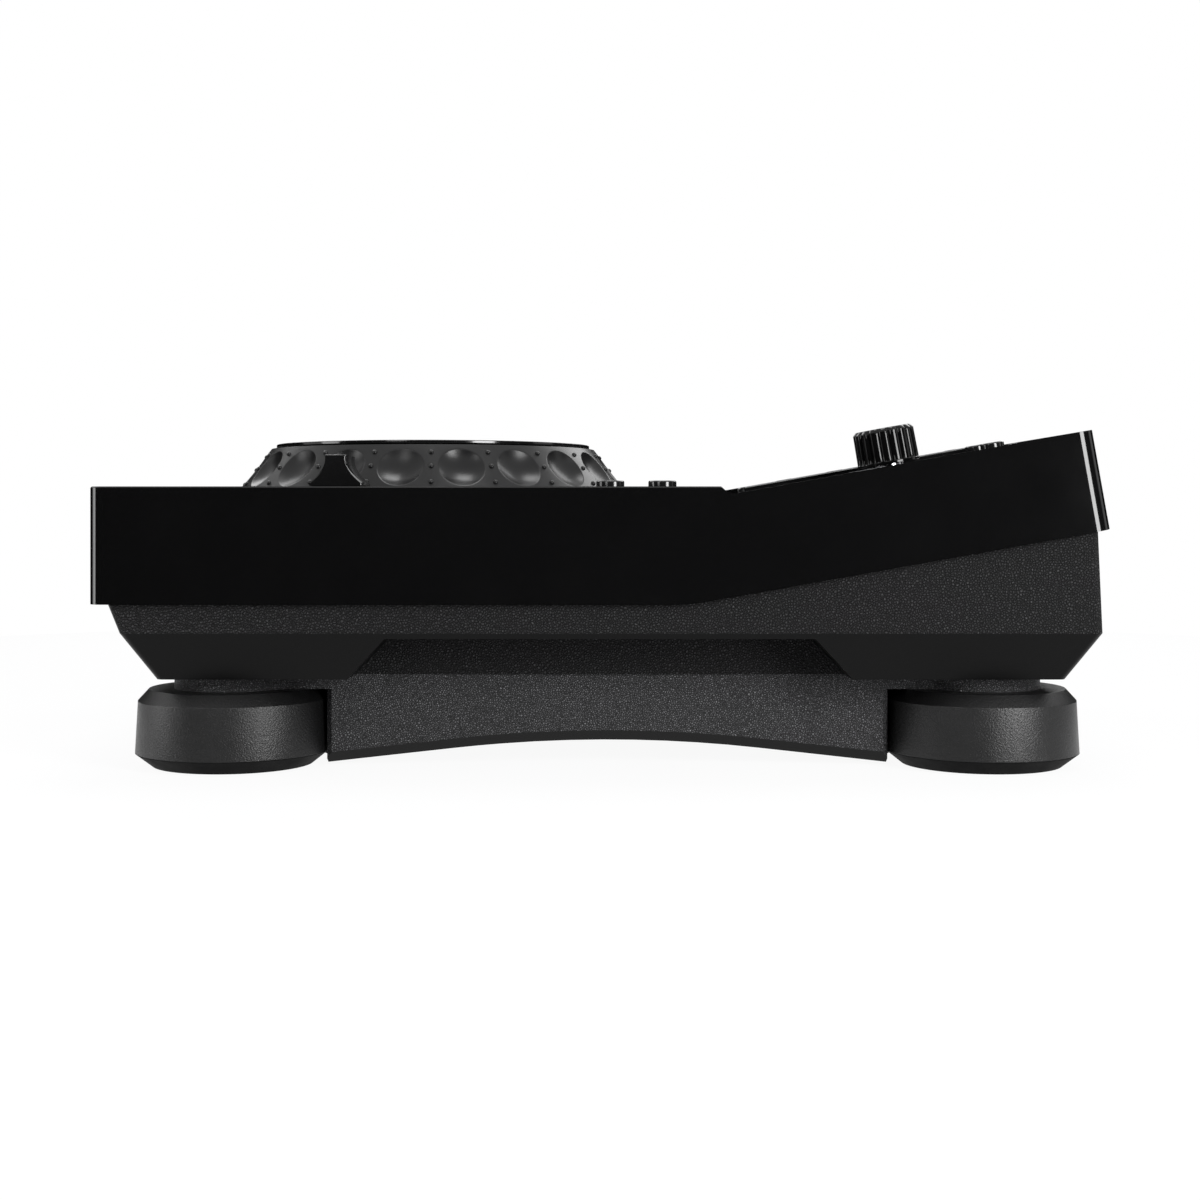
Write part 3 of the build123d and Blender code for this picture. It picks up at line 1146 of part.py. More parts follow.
def power_inlet():
    """The round low-voltage inlet with its centre pin."""
    body = socket_box(INLET_WIDTH, INLET_HEIGHT, INLET_LENGTH, INLET_X)
    body -= rear_rod(INLET_BORE, INLET_X, REAR_PANEL_Y - SOCKET_DEPTH, REAR_PANEL_Y + 1)
    return body + rear_rod(INLET_PIN, INLET_X, REAR_PANEL_Y - SOCKET_DEPTH - 1, REAR_PANEL_Y - SOCKET_PIN_SINK)


def power_switch():
    """The power switch's case behind the panel."""
    half = SWITCH_WIDTH / 2
    body = block((SWITCH_X - half, SWITCH_X + half), (REAR_PANEL_BACK - SWITCH_LENGTH, REAR_PANEL_BACK),
                 (JACK_BOARD_Z, SOCKET_Z + SWITCH_HEIGHT / 2))
    room = 2 * (POWER_LIP + POWER_GAP)
    depth = REAR_PANEL_THICK + SWITCH_LENGTH - SWITCH_WALL
    return body - mouth(POWER_WIDTH + room, POWER_HEIGHT + room, depth, SWITCH_X)


def power_button():
    """The push button of the power switch, held in by a lip behind the panel."""
    end = REAR_PANEL_BACK - SWITCH_LENGTH + SWITCH_WALL + POWER_TRAVEL + SWITCH_GAP
    half_w, half_h = POWER_WIDTH / 2, POWER_HEIGHT / 2
    button = block((SWITCH_X - half_w, SWITCH_X + half_w), (end, REAR_PANEL_Y + POWER_PROUD),
                   (SOCKET_Z - half_h, SOCKET_Z + half_h))
    button = fillet(button.faces().sort_by(Axis.Y)[-1].edges(), KEY_EDGE)
    return button + block((SWITCH_X - half_w - POWER_LIP, SWITCH_X + half_w + POWER_LIP),
                          (end, REAR_PANEL_BACK - SOCKET_GAP),
                          (SOCKET_Z - half_h - POWER_LIP, SOCKET_Z + half_h + POWER_LIP))


def cord_hook():
    """The hook beside the inlet that a cord is looped round."""
    half = HOOK_THICK / 2
    out = REAR_PANEL_Y + HOOK_REACH
    arm = block((HOOK_X - half, HOOK_X + half), (REAR_PANEL_Y, out), (HOOK_Z, HOOK_Z + HOOK_THICK))
    tip = block((HOOK_X - half, HOOK_X + half), (out - HOOK_THICK, out), (HOOK_Z, HOOK_Z + HOOK_HEIGHT))
    foot_plate = block((HOOK_X - 2 * half, HOOK_X + 2 * half), (REAR_PANEL_Y, REAR_PANEL_Y + half),
                       (HOOK_Z, HOOK_Z + HOOK_HEIGHT))
    return arm + tip + foot_plate


def jack_board():
    """The board that carries the rear sockets."""
    return block((-JACK_BOARD_HALF, JACK_BOARD_HALF), (JACK_BOARD_FRONT, JACK_BOARD_REAR),
                 (JACK_BOARD_Z - BOARD_THICK, JACK_BOARD_Z))


MAKERS = (
    top_cover, tray, plinth, case_screws, screen_bezel, screen_glass, screen_module, screen_bracket, main_board,
    heat_sink, deck_key_boards, panel_key_boards, key_switches, light_rings, stick_socket, jack_panel, jack_board,
    rca_sockets, link_socket, usb_b_socket, power_inlet, power_switch, power_button, cord_hook, jog_base,
    jog_bearings, jog_sensor, jog_shaft, jog_ring, jog_plate, code_disc, tempo_fader, tempo_carriage, tempo_cap,
    selector_encoder, selector_plunger, selector_shaft, selector_knob,
)


def pieces():
    """Every piece of the player, by node name."""
    parts = {maker.__name__: maker() for maker in MAKERS}
    parts["foot_pads"] = joined([Pos(*spot) * foot_pad() for spot in FOOT_SPOTS])
    for name, spot in zip(FOOT_NAMES, FOOT_SPOTS):
        parts[name] = Pos(*spot) * foot()
    for name, key in all_keys().items():
        parts[name] = key.solid()
    return parts


def main():
    os.makedirs("parts", exist_ok=True)
    for name, shape in pieces().items():
        export_step(shape, f"parts/{name}.step")


main()
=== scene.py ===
"""Looks of the desktop media player: gloss cover, grained tray and plinth, satin feet on rubber pads, a
dimpled jog wheel under a spun plate, a fluted selector, keys with their signs, and the sockets at the rear.

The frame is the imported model's: +X the player's right, +Y its rear, +Z up. Sizes are in millimetres, and the
studio's are in metres.
"""

import json
from math import atan2, cos, hypot, pi, radians, sin, sqrt, tan

import bmesh
import bpy
from mathutils import Matrix, Vector


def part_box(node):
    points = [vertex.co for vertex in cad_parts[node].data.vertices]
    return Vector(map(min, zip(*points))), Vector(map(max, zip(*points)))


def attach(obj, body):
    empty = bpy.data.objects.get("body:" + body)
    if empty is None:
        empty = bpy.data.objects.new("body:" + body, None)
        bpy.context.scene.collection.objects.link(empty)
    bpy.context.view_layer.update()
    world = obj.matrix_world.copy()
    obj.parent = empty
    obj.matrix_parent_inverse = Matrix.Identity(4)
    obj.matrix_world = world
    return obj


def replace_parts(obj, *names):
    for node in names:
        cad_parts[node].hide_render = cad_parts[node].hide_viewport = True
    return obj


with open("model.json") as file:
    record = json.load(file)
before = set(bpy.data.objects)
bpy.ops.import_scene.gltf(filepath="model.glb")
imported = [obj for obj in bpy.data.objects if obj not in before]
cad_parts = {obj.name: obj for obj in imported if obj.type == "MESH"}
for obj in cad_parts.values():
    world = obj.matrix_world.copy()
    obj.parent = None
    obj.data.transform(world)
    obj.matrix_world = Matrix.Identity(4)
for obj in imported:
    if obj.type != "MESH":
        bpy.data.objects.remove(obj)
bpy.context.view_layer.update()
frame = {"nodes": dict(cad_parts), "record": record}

MM = 0.001
SMOOTH_ANGLE = radians(32)

# The most of a corner's shorter side that its easing takes.
EASE_REACH = 0.45

# A corner whose half angle is larger than this counts as straight.
NEARLY_STRAIGHT = radians(88)

# A moulding is smooth, and its colour darkened as painted shade, where its outward way points further down
# than this.
SMOOTH_AND_SHADED_BELOW = -0.25

# The flat deck, and the line where the tilted panel starts.
DECK = 88.0
TILT = radians(10.13)
SLOPE_Y = 40.3
SLOPE_Z = 85.8


def low(node):
    """The lowest corner of a node."""
    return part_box(node)[0] / MM


def high(node):
    """The highest corner of a node."""
    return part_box(node)[1] / MM


def middle(node):
    """The middle of a node's box."""
    return (low(node) + high(node)) / 2


# The jog wheel: a cone that leans in from the deck to its top.
JOG = Vector((0, middle("jog_ring").y, 0))
JOG_RADIUS = 70.2
JOG_LEAN = 11.6
JOG_TOP_RADIUS = JOG_RADIUS - JOG_LEAN
JOG_TOP = high("jog_ring").z
JOG_RISE = JOG_TOP - DECK
JOG_SLANT = hypot(JOG_RISE, JOG_LEAN)
JOG_WALL = 7.6
JOG_ROOF_WALL = 5.7
JOG_WEB = 2.5
SKIRT_BEVEL = 0.4
DIMPLES = 20
DIMPLE_RADIUS = 7.8
DIMPLE_DEPTH = 2.6
DIMPLE_Z = 95.2
DIMPLE_EASE = 0.3
DIMPLE_TURN = radians(4.6)
DIMPLE_BALL = (DIMPLE_RADIUS ** 2 + DIMPLE_DEPTH ** 2) / (2 * DIMPLE_DEPTH)
STUD_RADIUS = 0.85
STUD_HEIGHTS = (90.2, 95.5, 100.2)
ROOF_EDGE = 4.0
ROOF_MIDDLE = 5.0

# A stud's dome from its foot up: shares of its radius, and heights over the cone.
STUD_DOME = ((1.0, -0.6), (1.0, 0.05), (0.94, 0.3), (0.7, 0.58), (0.36, 0.7), (0.0, 0.74))

# The mesh of a dimple's sector: steps along its side and its ends, and rings over the hollow and its edge.
SECTOR_SIDE = 18
SECTOR_END = 24
HOLLOW_RINGS = 14
EDGE_RINGS = 3

# The touch plate on the jog wheel.
PLATE_TOP = high("jog_plate").z
PLATE_GAP = 0.4
PLATE_LOW = JOG_TOP + PLATE_GAP
PLATE_RADIUS = (high("jog_plate").x - low("jog_plate").x) / 2
PLATE_PIN_RADIUS = 2.5
PLATE_PIN_LENGTH = 6.0
RIM_WIDTH = 2.6
RIM_FALL = 0.3
RIM_DROP = 0.05
RIM_EASE = 0.28
FACE_SINK = 0.35
FACE_SEAT = 0.34
FACE_PROUD = 0.08
FACE_INSET = 3.1
FACE_BORE = 22.4
FACE_EASE = 0.06
DISPLAY_RADIUS = 22.0
DISPLAY_BEVEL = 0.6
DISPLAY_DROP = 0.02
DISPLAY_EASE = 0.12

# The feet and their rubber pads.
FEET = ("foot_front_left", "foot_front_right", "foot_rear_left", "foot_rear_right")
FOOT_RADIUS = 30.6
FOOT_SHOULDER = (29.7, 20.7)
FOOT_CROWN = 26.3
FOOT_NECK = 18.5
FOOT_EASE = 0.35
PAD_HOLE = 7.0
PAD_THICK = 4.2
PAD_RADIUS = 25.3
PAD_MOUTH_DEEP = 0.9
PAD_MOUTH_BEVEL = 0.4
PAD_RIBS = 11
PAD_RIB_START = 8.0
PAD_RIB_PITCH = 1.5
PAD_RIB_WIDTH = 0.9

# A groove's floor goes from the first to the second of these, from the start of its rib.
PAD_GROOVE = (1.05, 1.35)
PAD_GROOVE_DEEP = 0.35

# The rotary selector.
SELECTOR_SPOT = (81.0, 52.9)
KNOB_RADIUS = 9.95
KNOB_FOOT = 0.55
KNOB_TOP = 12.1
KNOB_WALL_IN = 0.12
KNOB_WALL_FOOT = 1.15
KNOB_WALL_CROWN = 1.1
KNOB_WALL_STEPS = 5
KNOB_TAPER = 0.14
FLUTES = 18
FLUTE_DEPTH = 0.7
FLUTE_STEPS = 16
FLUTE_ROUND = 2.6

# Rings of the knob's collar and crown: how far in from its radius, how far over its foot or under its top,
# and how much of the flutes' depth they have. The last ring has its radius, and how far under the top.
KNOB_COLLAR = ((0.15, 0.0, 0.0), (0.0, 0.15, 0.0), (0.0, 0.8, 0.0), (0.1, 0.95, 0.6))
KNOB_CROWN = ((0.4, 0.9, 0.95), (1.0, 0.3, 0.6), (1.25, 0.08, 0.35), (1.5, 0.0, 0.2), (2.2, 0.0, 0.0),
              (2.5, 0.12, 0.0))
KNOB_MIDDLE = (2.0, 0.12)

# The tempo slider's cap.
CAP_HALF_WIDTH = 10.0
CAP_GAP = 0.25
CAP_HEIGHT = 9.9
CAP_FOOT = 1.0
CAP_FLARE = 8.05
CAP_CROWN = 3.2
CAP_BOW = 1.6
CAP_EASE = 0.8
CAP_END = 0.3
CAP_END_MIDDLE = 0.09
CAP_STEPS = 16
TEMPO_TRAVEL = 30.0
TICK_PITCH = 5.0

# The keys. Spots on the tilted panel are across it and up it.
KEY_DROP = 3.7
KEY_EDGE = 0.55
KEY_CORNER = 1.8
DISH_STEP = 0.9
ROUND_DISH = 0.12
SQUARE_DISH = 0.1
TRANSPORT_RISE = 2.4
LOW_RISE = 1.5
TRANSPORT_RADIUS = 12.0
LOOP_RADIUS = 4.2
TEMPO_KEY_RADIUS = 4.4
TEMPO_KEY_RISE = 2.1
LIST_KEY_RADIUS = 3.4
LIST_KEY_RISE = 1.6
LIST_KEY_REACH = 11.0
LIST_KEY_UP = 83.6
STOP_KEY_RADIUS = 2.6
STOP_KEY_SPOT = (-56.0, 101.5)
SEARCH_SIZE = (13.0, 7.0)
MENU_SIZE = (8.6, 6.5)
MENU_SPOT = (-105.8, 39.5)
MENU_PITCH = 22.0

# Ink, and how far a sign stands from its key.
INK_THICK = 0.04
SIGN_SCALE = 1.25
KEY_SIGN_SINK = 0.1
WEDGE_REACH = 0.58
SEARCH_SIGN = 5.6
LOOP_SIGN = -7.2
TEMPO_SIGN = 8.2
SCALE_TICKS = 12.6
SCALE_SIGNS = 16.6
LIST_SIGN_UP = 37.4
MENU_SIGN_UP = 6.2
STOP_SIGN = 5.4

# The rear bay.
REAR_FACE = 141.8
REAR_SIGNS_Z = 65.6
SOCKET_Z = 57.0
JACK_SPOTS = (("left", 79.0, (0.6, 0.6, 0.58, 1)), ("right", 65.0, (0.42, 0.012, 0.012, 1)))
INSERT_BORE = 1.7
INSERT_RADIUS = 3.7
INSERT_SINK = 0.6
INSERT_PROUD = 0.12
INSERT_EASE = 0.1

# The studio, in metres. A soft box has its place, width, height and power.
FLOOR_RADIUS = 0.62
FLOOR_DROP = 0.0002
FLOOR_GREY = 0.86
FLOOR_WHITE = 0.93
ROOM_LIGHT = 0.28
CARD_SPREAD = radians(80)
CARD_AWAY = 1.15
CARD_FOOT = -0.9
CARD_TOP = 0.55
CARD_STEPS = 32
LAMP_AIM = Vector((0, 0, 0.05))
SOFT_BOXES = (
    ("soft_rear_right", (0.55, 0.40, 0.20), 0.2, 0.36, 5.0),
    ("soft_rear_left", (-0.50, 0.40, 0.55), 0.34, 0.4, 1.5),
    ("soft_front_right", (0.45, -0.22, 0.26), 0.12, 0.22, 0.5),
    ("soft_front_left", (-0.45, -0.35, 0.55), 0.3, 0.3, 1.2),
    ("strip_front", (0.14, -0.42, 0.12), 0.1, 0.24, 0.45),
    ("box_above", (-0.14, 0.0, 1.05), 0.42, 0.42, 4.5),
)
CAMERA_PLACE = (0.627, 0.0, 0.0803)
CAMERA_SHIFT = -0.0733
CAMERA_SENSOR = 36.0
CAMERA_LENS = 51.26
CAMERA_NEAR = 0.02


# Finishes.

class Wire:
    """A socket on a sheet. Maths on it adds the nodes that do it."""

    def __init__(self, sheet, socket):
        self.sheet = sheet
        self.socket = socket

    def __add__(self, other):
        return self.sheet.maths("ADD", self, other)

    def __sub__(self, other):
        return self.sheet.maths("SUBTRACT", self, other)

    def __rsub__(self, other):
        return self.sheet.maths("SUBTRACT", other, self)

    def __mul__(self, other):
        return self.sheet.maths("MULTIPLY", self, other)

    def __lt__(self, other):
        return self.sheet.maths("LESS_THAN", self, other)

    def __gt__(self, other):
        return self.sheet.maths("GREATER_THAN", self, other)

    __radd__ = __add__
    __rmul__ = __mul__


class Sheet:
    """The node sheet of a material or of the world."""

    def __init__(self, owner):
        self.owner = owner
        owner.use_nodes = True
        self.tree = owner.node_tree
        self.tree.nodes.clear()

    def node(self, kind, settings=None, inputs=None):
        """Adds a node: its settings first, then its sockets' values or wires. Gives its output wires."""
        made = self.tree.nodes.new("ShaderNode" + kind)
        for name, value in (settings or {}).items():
            if name == "stops":
                self.set_stops(made.color_ramp, value)
            else:
                setattr(made, name, value)
        for name, value in (inputs or {}).items():
            if isinstance(value, Wire):
                self.tree.links.new(value.socket, made.inputs[name])
            else:
                made.inputs[name].default_value = value
        return {socket.name: Wire(self, socket) for socket in made.outputs if socket.enabled}

    @staticmethod
    def set_stops(ramp, stops):
        """Puts a ramp's stops at their places."""
        while len(ramp.elements) < len(stops):
            ramp.elements.new(1.0)
        for element, (place, value) in zip(ramp.elements, stops):
            element.position = place
            element.color = (value, value, value, 1.0)

    def maths(self, operation, *values):
        return self.node("Math", {"operation": operation}, dict(enumerate(values)))["Value"]

    def vector(self, operation, *values):
        return self.node("VectorMath", {"operation": operation}, dict(enumerate(values)))["Vector"]

    def mix(self, factor, first, second):
        """Two colours, mixed by a factor."""
        return self.node("Mix", {"data_type": "RGBA"}, {0: factor, 6: first, 7: second})["Result"]

    def place(self):
        """Where a point lies in the model's frame, in metres."""
        return self.node("TexCoord")["Object"]

    def parts(self, vector):
        """A vector's X, Y and Z."""
        out = self.node("SeparateXYZ", {}, {0: vector})
        return out["X"], out["Y"], out["Z"]

    def joined_parts(self, x, y=0.0):
        """A vector from its X and Y."""
        return self.node("CombineXYZ", {}, {0: x, 1: y})["Vector"]

    def noise(self, place, size, detail=2.0, rough=0.5):
        """A soft random pattern with blobs of a size."""
        inputs = {"Vector": place, "Scale": 1 / (size * MM), "Detail": detail, "Roughness": rough}
        return self.node("TexNoise", {}, inputs)["Fac"]

    def islands(self, place, size):
        """How far a point lies inside its cell, for cells of a size."""
        inputs = {"Vector": place, "Scale": 1 / (size * MM)}
        return self.node("TexVoronoi", {"feature": "DISTANCE_TO_EDGE"}, inputs)["Distance"]

    def ramp(self, value, first, last, start=0.3, end=0.7):
        """Goes from a first to a last number while the value goes from a start to an end."""
        return self.node("ValToRGB", {"stops": ((start, first), (end, last))}, {0: value})["Color"]

    def leather(self, size, bend=0.55):
        """A moulded leather grain: rounded islands of a size, between fine valleys."""
        place = self.place()
        shift = self.noise(place, size * 2.2) * size * MM * bend
        bent = self.vector("ADD", place, self.joined_parts(shift, shift))
        fine = self.noise(place, size * 0.4, detail=3.0, rough=0.6)
        return self.maths("MINIMUM", self.islands(bent, size) * 2.2, 1.0) * 0.8 + fine * 0.35

    def bump(self, height, depth, strength=1.0):
        """The normal of a height field of a full depth."""
        inputs = {"Strength": strength, "Distance": depth * MM, "Height": height}
        return self.node("Bump", {}, inputs)["Normal"]

    def shade(self, colour, rough, metal=0.0, normal=None, **fixed):
        """Ends the sheet in one surface. Fixed sockets are set on it directly."""
        inputs = {"Base Color": colour, "Roughness": rough, "Metallic": metal}
        if normal is not None:
            inputs["Normal"] = normal
        for name, value in fixed.items():
            inputs[name.replace("_", " ").title().replace("Ior", "IOR")] = value
        surface = self.node("BsdfPrincipled", {}, inputs)["BSDF"]
        self.node("OutputMaterial", {}, {"Surface": surface})
        return self.owner


def new_sheet(name):
    """The empty node sheet of a new material."""
    return Sheet(bpy.data.materials.new(name))


def grey(value):
    """An opaque, nearly neutral colour."""
    return (value, value, value * 1.03, 1.0)


def gloss_black(name, value=0.0034, rough=0.06, specular=0.45):
    """Piano black moulding: a trace of flow in the surface and very fine polishing haze."""
    sheet = new_sheet(name)
    place = sheet.place()
    haze = sheet.noise(place, 18.0, detail=3.0)
    flow = sheet.noise(place, 9.0, detail=1.0)
    return sheet.shade(
        sheet.mix(haze, grey(value), grey(value * 1.3)),
        sheet.ramp(haze, rough, rough * 1.6, end=0.75),
        normal=sheet.bump(flow, depth=0.04, strength=0.1),
        specular_ior_level=specular,
    )


def grained(name, value, size, depth, rough, downward_shade_value, smooth_rough, specular):
    """Black moulding with leather grain on its upright walls; the grain's light tops are partly painted
    sparkle. Faces that look down are smooth, with painted shade.
    """
    sheet = new_sheet(name)
    place = sheet.place()
    grain = sheet.leather(size)
    cloud = sheet.noise(place, 30.0)
    upright = sheet.parts(sheet.node("TexCoord")["Normal"])[2] > SMOOTH_AND_SHADED_BELOW
    fine = sheet.noise(place, 0.5, detail=3.0)
    # The grain's colour runs from near black in its valleys to light on its raised tops: partly the grain's
    # own tone, partly painted sparkle in place of highlights.
    colour = sheet.mix(grain * grain, grey(value * 0.1), grey(value * 3.6))
    shine = sheet.ramp(grain, rough + 0.3, rough, start=0.15, end=0.95) + cloud * 0.06 - 0.03
    # Faces that look down take a flat, much darker colour: painted shade, besides their smooth finish.
    return sheet.shade(
        sheet.mix(upright, grey(downward_shade_value), colour),
        shine * upright + (1 - upright) * smooth_rough,
        normal=sheet.bump(grain * upright + (1 - upright) * fine * 0.12, depth),
        specular_ior_level=specular,
    )


def satin(name, value, rough=0.38, size=0.55, depth=0.03, specular=0.5):
    """Finely sparked satin moulding."""
    sheet = new_sheet(name)
    place = sheet.place()
    spark = sheet.noise(place, size, detail=3.0, rough=0.6)
    cloud = sheet.noise(place, 24.0)
    return sheet.shade(
        sheet.mix(cloud, grey(value * 0.85), grey(value * 1.2)),
        sheet.ramp(cloud, rough - 0.04, rough + 0.05),
        normal=sheet.bump(spark, depth),
        specular_ior_level=specular,
    )


def rubber(name, value):
    """Dull rubber with a chalky bloom."""
    sheet = new_sheet(name)
    place = sheet.place()
    bloom = sheet.noise(place, 7.0, detail=4.0, rough=0.65)
    fine = sheet.noise(place, 0.35)
    return sheet.shade(
        sheet.mix(bloom, grey(value * 0.7), grey(value * 1.5)),
        sheet.ramp(bloom, 0.62, 0.78),
        normal=sheet.bump(fine, depth=0.03),
        specular_ior_level=0.08,
    )


def brushed(name, value, rough):
    """Metal with fine lines along one way."""
    sheet = new_sheet(name)
    drawn_out = sheet.vector("MULTIPLY", sheet.place(), (1.0, 1.0, 30.0))
    streak = sheet.noise(drawn_out, 6.0, detail=4.0, rough=0.6)
    return sheet.shade(
        sheet.mix(streak, grey(value * 0.8), grey(value * 1.1)),
        sheet.ramp(streak, rough * 0.8, rough * 1.3),
        metal=1.0,
        normal=sheet.bump(streak, depth=0.02, strength=0.4),
    )


def spun(name, value, rough, pitch):
    """The jog wheel's metal face, turned in fine rings round its axis."""
    sheet = new_sheet(name)
    x, y = sheet.parts(sheet.vector("SUBTRACT", sheet.place(), JOG * MM))[:2]
    reach = sheet.maths("SQRT", x * x + y * y)
    ring = sheet.maths("SINE", reach * (2 * pi / (pitch * MM))) * 0.5 + 0.5
    streak = sheet.noise(sheet.joined_parts(reach), 1.7, detail=4.0, rough=0.7)
    return sheet.shade(
        sheet.mix(streak, grey(value * 0.75), grey(value * 1.2)),
        sheet.ramp(streak, rough * 0.85, rough * 1.25),
        metal=0.9,
        normal=sheet.bump(ring * 0.6 + streak * 0.4, depth=0.02, strength=0.5),
    )


def glass_black(name):
    """Dark touch glass, opaque where the display is off."""
    sheet = new_sheet(name)
    smear = sheet.noise(sheet.place(), 40.0, detail=3.0, rough=0.6)
    return sheet.shade(
        sheet.mix(smear, grey(0.003), grey(0.006)),
        sheet.ramp(smear, 0.03, 0.09, start=0.35, end=0.75),
        specular_ior_level=0.5,
        coat_weight=0.3,
    )


def circuit(name, tracks_per_metre=420, track_share=0.28):
    """A circuit board: solder mask with tracks in two directions."""
    sheet = new_sheet(name)
    place = sheet.place()
    x, y = sheet.parts(place)[:2]
    lines = sheet.maths("FRACT", x * tracks_per_metre) < track_share
    gate = sheet.noise(place, 11.0, detail=1.0) > 0.5
    cross = sheet.maths("FRACT", y * tracks_per_metre) < track_share
    tracks = lines * gate + cross * (1 - gate)
    return sheet.shade(
        sheet.mix(tracks, (0.010, 0.055, 0.028, 1), (0.03, 0.13, 0.06, 1)),
        0.35,
        normal=sheet.bump(tracks, depth=0.04),
    )


def printed(name, value):
    """Silk-screened ink with a slightly uneven lay."""
    sheet = new_sheet(name)
    lay = sheet.noise(sheet.place(), 0.6)
    return sheet.shade(sheet.mix(lay, grey(value * 0.9), grey(value)), sheet.ramp(lay, 0.42, 0.55))


def moulded_colour(name, colour, shade=0.8, size=1.5, rough=0.4):
    """A coloured moulding with faint clouds."""
    sheet = new_sheet(name)
    lay = sheet.noise(sheet.place(), size)
    dim = tuple(part * shade for part in colour[:3]) + (1.0,)
    return sheet.shade(sheet.mix(lay, dim, colour), rough)


def milky(name):
    """A light guide whose lamp is off."""
    return moulded_colour(name, (0.35, 0.36, 0.38, 1), shade=0.7, size=3.0, rough=0.3)


FINISHES = {slot: maker(slot, **settings) for slot, maker, settings in (
    ("cover_gloss", gloss_black, dict(value=0.0023, rough=0.06, specular=0.33)),
    # For the tray and the plinth, the value for faces that look down is painted shade.
    ("tray_grain", grained, dict(value=0.0105, size=0.8, depth=0.4, rough=0.3, downward_shade_value=0.0015,
                                 smooth_rough=0.34, specular=0.12)),
    ("plinth_grain", grained, dict(value=0.042, size=0.62, depth=0.3, rough=0.22, downward_shade_value=0.001,
                                   smooth_rough=0.3, specular=0.13)),
    ("foot_satin", satin, dict(value=0.004, rough=0.34, size=0.55, depth=0.16, specular=0.36)),
    ("pad_rubber", rubber, dict(value=0.002)),
    ("screw_steel", brushed, dict(value=0.12, rough=0.4)),
    ("bezel_gloss", gloss_black, dict(value=0.004, rough=0.09)),
    ("screen_glass", glass_black, {}),
    ("screen_dark", satin, dict(value=0.01, rough=0.3)),
    ("sheet_steel", brushed, dict(value=0.5, rough=0.35)),
    ("board_green", circuit, {}),
    ("sink_aluminium", brushed, dict(value=0.6, rough=0.4)),
    ("switch_black", satin, dict(value=0.02, rough=0.5)),
    ("ring_clear", milky, {}),
    ("connector_black", satin, dict(value=0.015, rough=0.45)),
    ("connector_steel", brushed, dict(value=0.62, rough=0.22)),
    ("panel_black", satin, dict(value=0.014, rough=0.5)),
    ("hook_black", satin, dict(value=0.014, rough=0.4)),
    ("key_black", gloss_black, dict(value=0.006, rough=0.1)),
    ("jog_black", satin, dict(value=0.007, rough=0.3, size=0.4, depth=0.012, specular=0.25)),
    ("jog_plate", spun, dict(value=0.03, rough=0.26, pitch=0.7)),
    ("shaft_steel", brushed, dict(value=0.5, rough=0.25)),
    ("bearing_steel", brushed, dict(value=0.5, rough=0.2)),
    ("disc_dark", satin, dict(value=0.03, rough=0.4)),
    ("knob_gloss", gloss_black, dict(value=0.002, rough=0.07, specular=0.22)),
    ("slider_gloss", gloss_black, dict(value=0.004, rough=0.1)),
)}
INK = printed("white_ink", 0.62)

for row in frame["record"]["subparts"]:
    skin = frame["nodes"][row["node"]].data
    skin.materials.clear()
    skin.materials.append(FINISHES[row["material_slot"]])


# Mesh makers. A shell is a list of points and a list of faces.

def piece(name, shell, finish, body, at=None):
    """A mesh piece from a shell, put in place and riding on a body."""
    points, faces = shell
    mesh = bpy.data.meshes.new(name)
    mesh.from_pydata([Vector(point) * MM for point in points], [], faces)
    if at is not None:
        mesh.transform(at)
    mesh.validate()
    made = bpy.data.objects.new(name, mesh)
    bpy.context.scene.collection.objects.link(made)
    mesh.materials.append(finish)
    smooth(mesh)
    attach(made, body)
    return made


def smooth(mesh):
    """Faces the mesh outward and shades it smoothly, but for sharp edges and many-sided flat faces."""
    work = bmesh.new()
    work.from_mesh(mesh)
    bmesh.ops.remove_doubles(work, verts=work.verts, dist=1e-7)
    bmesh.ops.recalc_face_normals(work, faces=work.faces)
    for face in work.faces:
        face.smooth = len(face.verts) < 5
    for edge in work.edges:
        if len(edge.link_faces) == 2 and edge.calc_face_angle(0) > SMOOTH_ANGLE:
            edge.smooth = False
    work.to_mesh(mesh)
    work.free()


def joined(*shells):
    """Several shells as one."""
    points, faces = [], []
    for more, skin in shells:
        faces += [tuple(len(points) + n for n in face) for face in skin]
        points += more
    return points, faces


def moved(shell, spot):
    """A shell shifted level to a spot's X and Y."""
    points, faces = shell
    return [(x + spot.x, y + spot.y, z) for x, y, z in points], faces


def eased(points, radius, steps=4):
    """A path with each inner corner rounded to a radius. A corner that is nearly straight stays."""
    path = [Vector(points[0])]
    for before, corner, after in zip(points, points[1:], points[2:]):
        before, corner, after = Vector(before), Vector(corner), Vector(after)
        way_in, way_out = (before - corner).normalized(), (after - corner).normalized()
        half = way_in.angle(way_out) / 2
        if half > NEARLY_STRAIGHT:
            path.append(corner)
            continue
        reach = EASE_REACH * min((before - corner).length, (after - corner).length)
        back = min(radius / tan(half), reach)
        start, end = corner + way_in * back, corner + way_out * back
        for n in range(steps + 1):
            t = n / steps
            path.append(start * (1 - t) ** 2 + corner * 2 * t * (1 - t) + end * t ** 2)
    path.append(Vector(points[-1]))
    return path


def turned(profile, segments=96):
    """The shell of a profile of (radius, z) turned round Z. An end on the axis closes to a point."""
    points, faces, rings = [], [], []
    for radius, z in profile:
        start = len(points)
        if radius < 1e-6:
            rings.append([start] * segments)
            points.append((0, 0, z))
        else:
            rings.append(list(range(start, start + segments)))
            turns = [2 * pi * n / segments for n in range(segments)]
            points += [(radius * cos(turn), radius * sin(turn), z) for turn in turns]
    for lower, upper in zip(rings, rings[1:]):
        for n in range(segments):
            m = (n + 1) % segments
            faces.append(tuple(dict.fromkeys((lower[n], lower[m], upper[m], upper[n]))))
    return points, faces


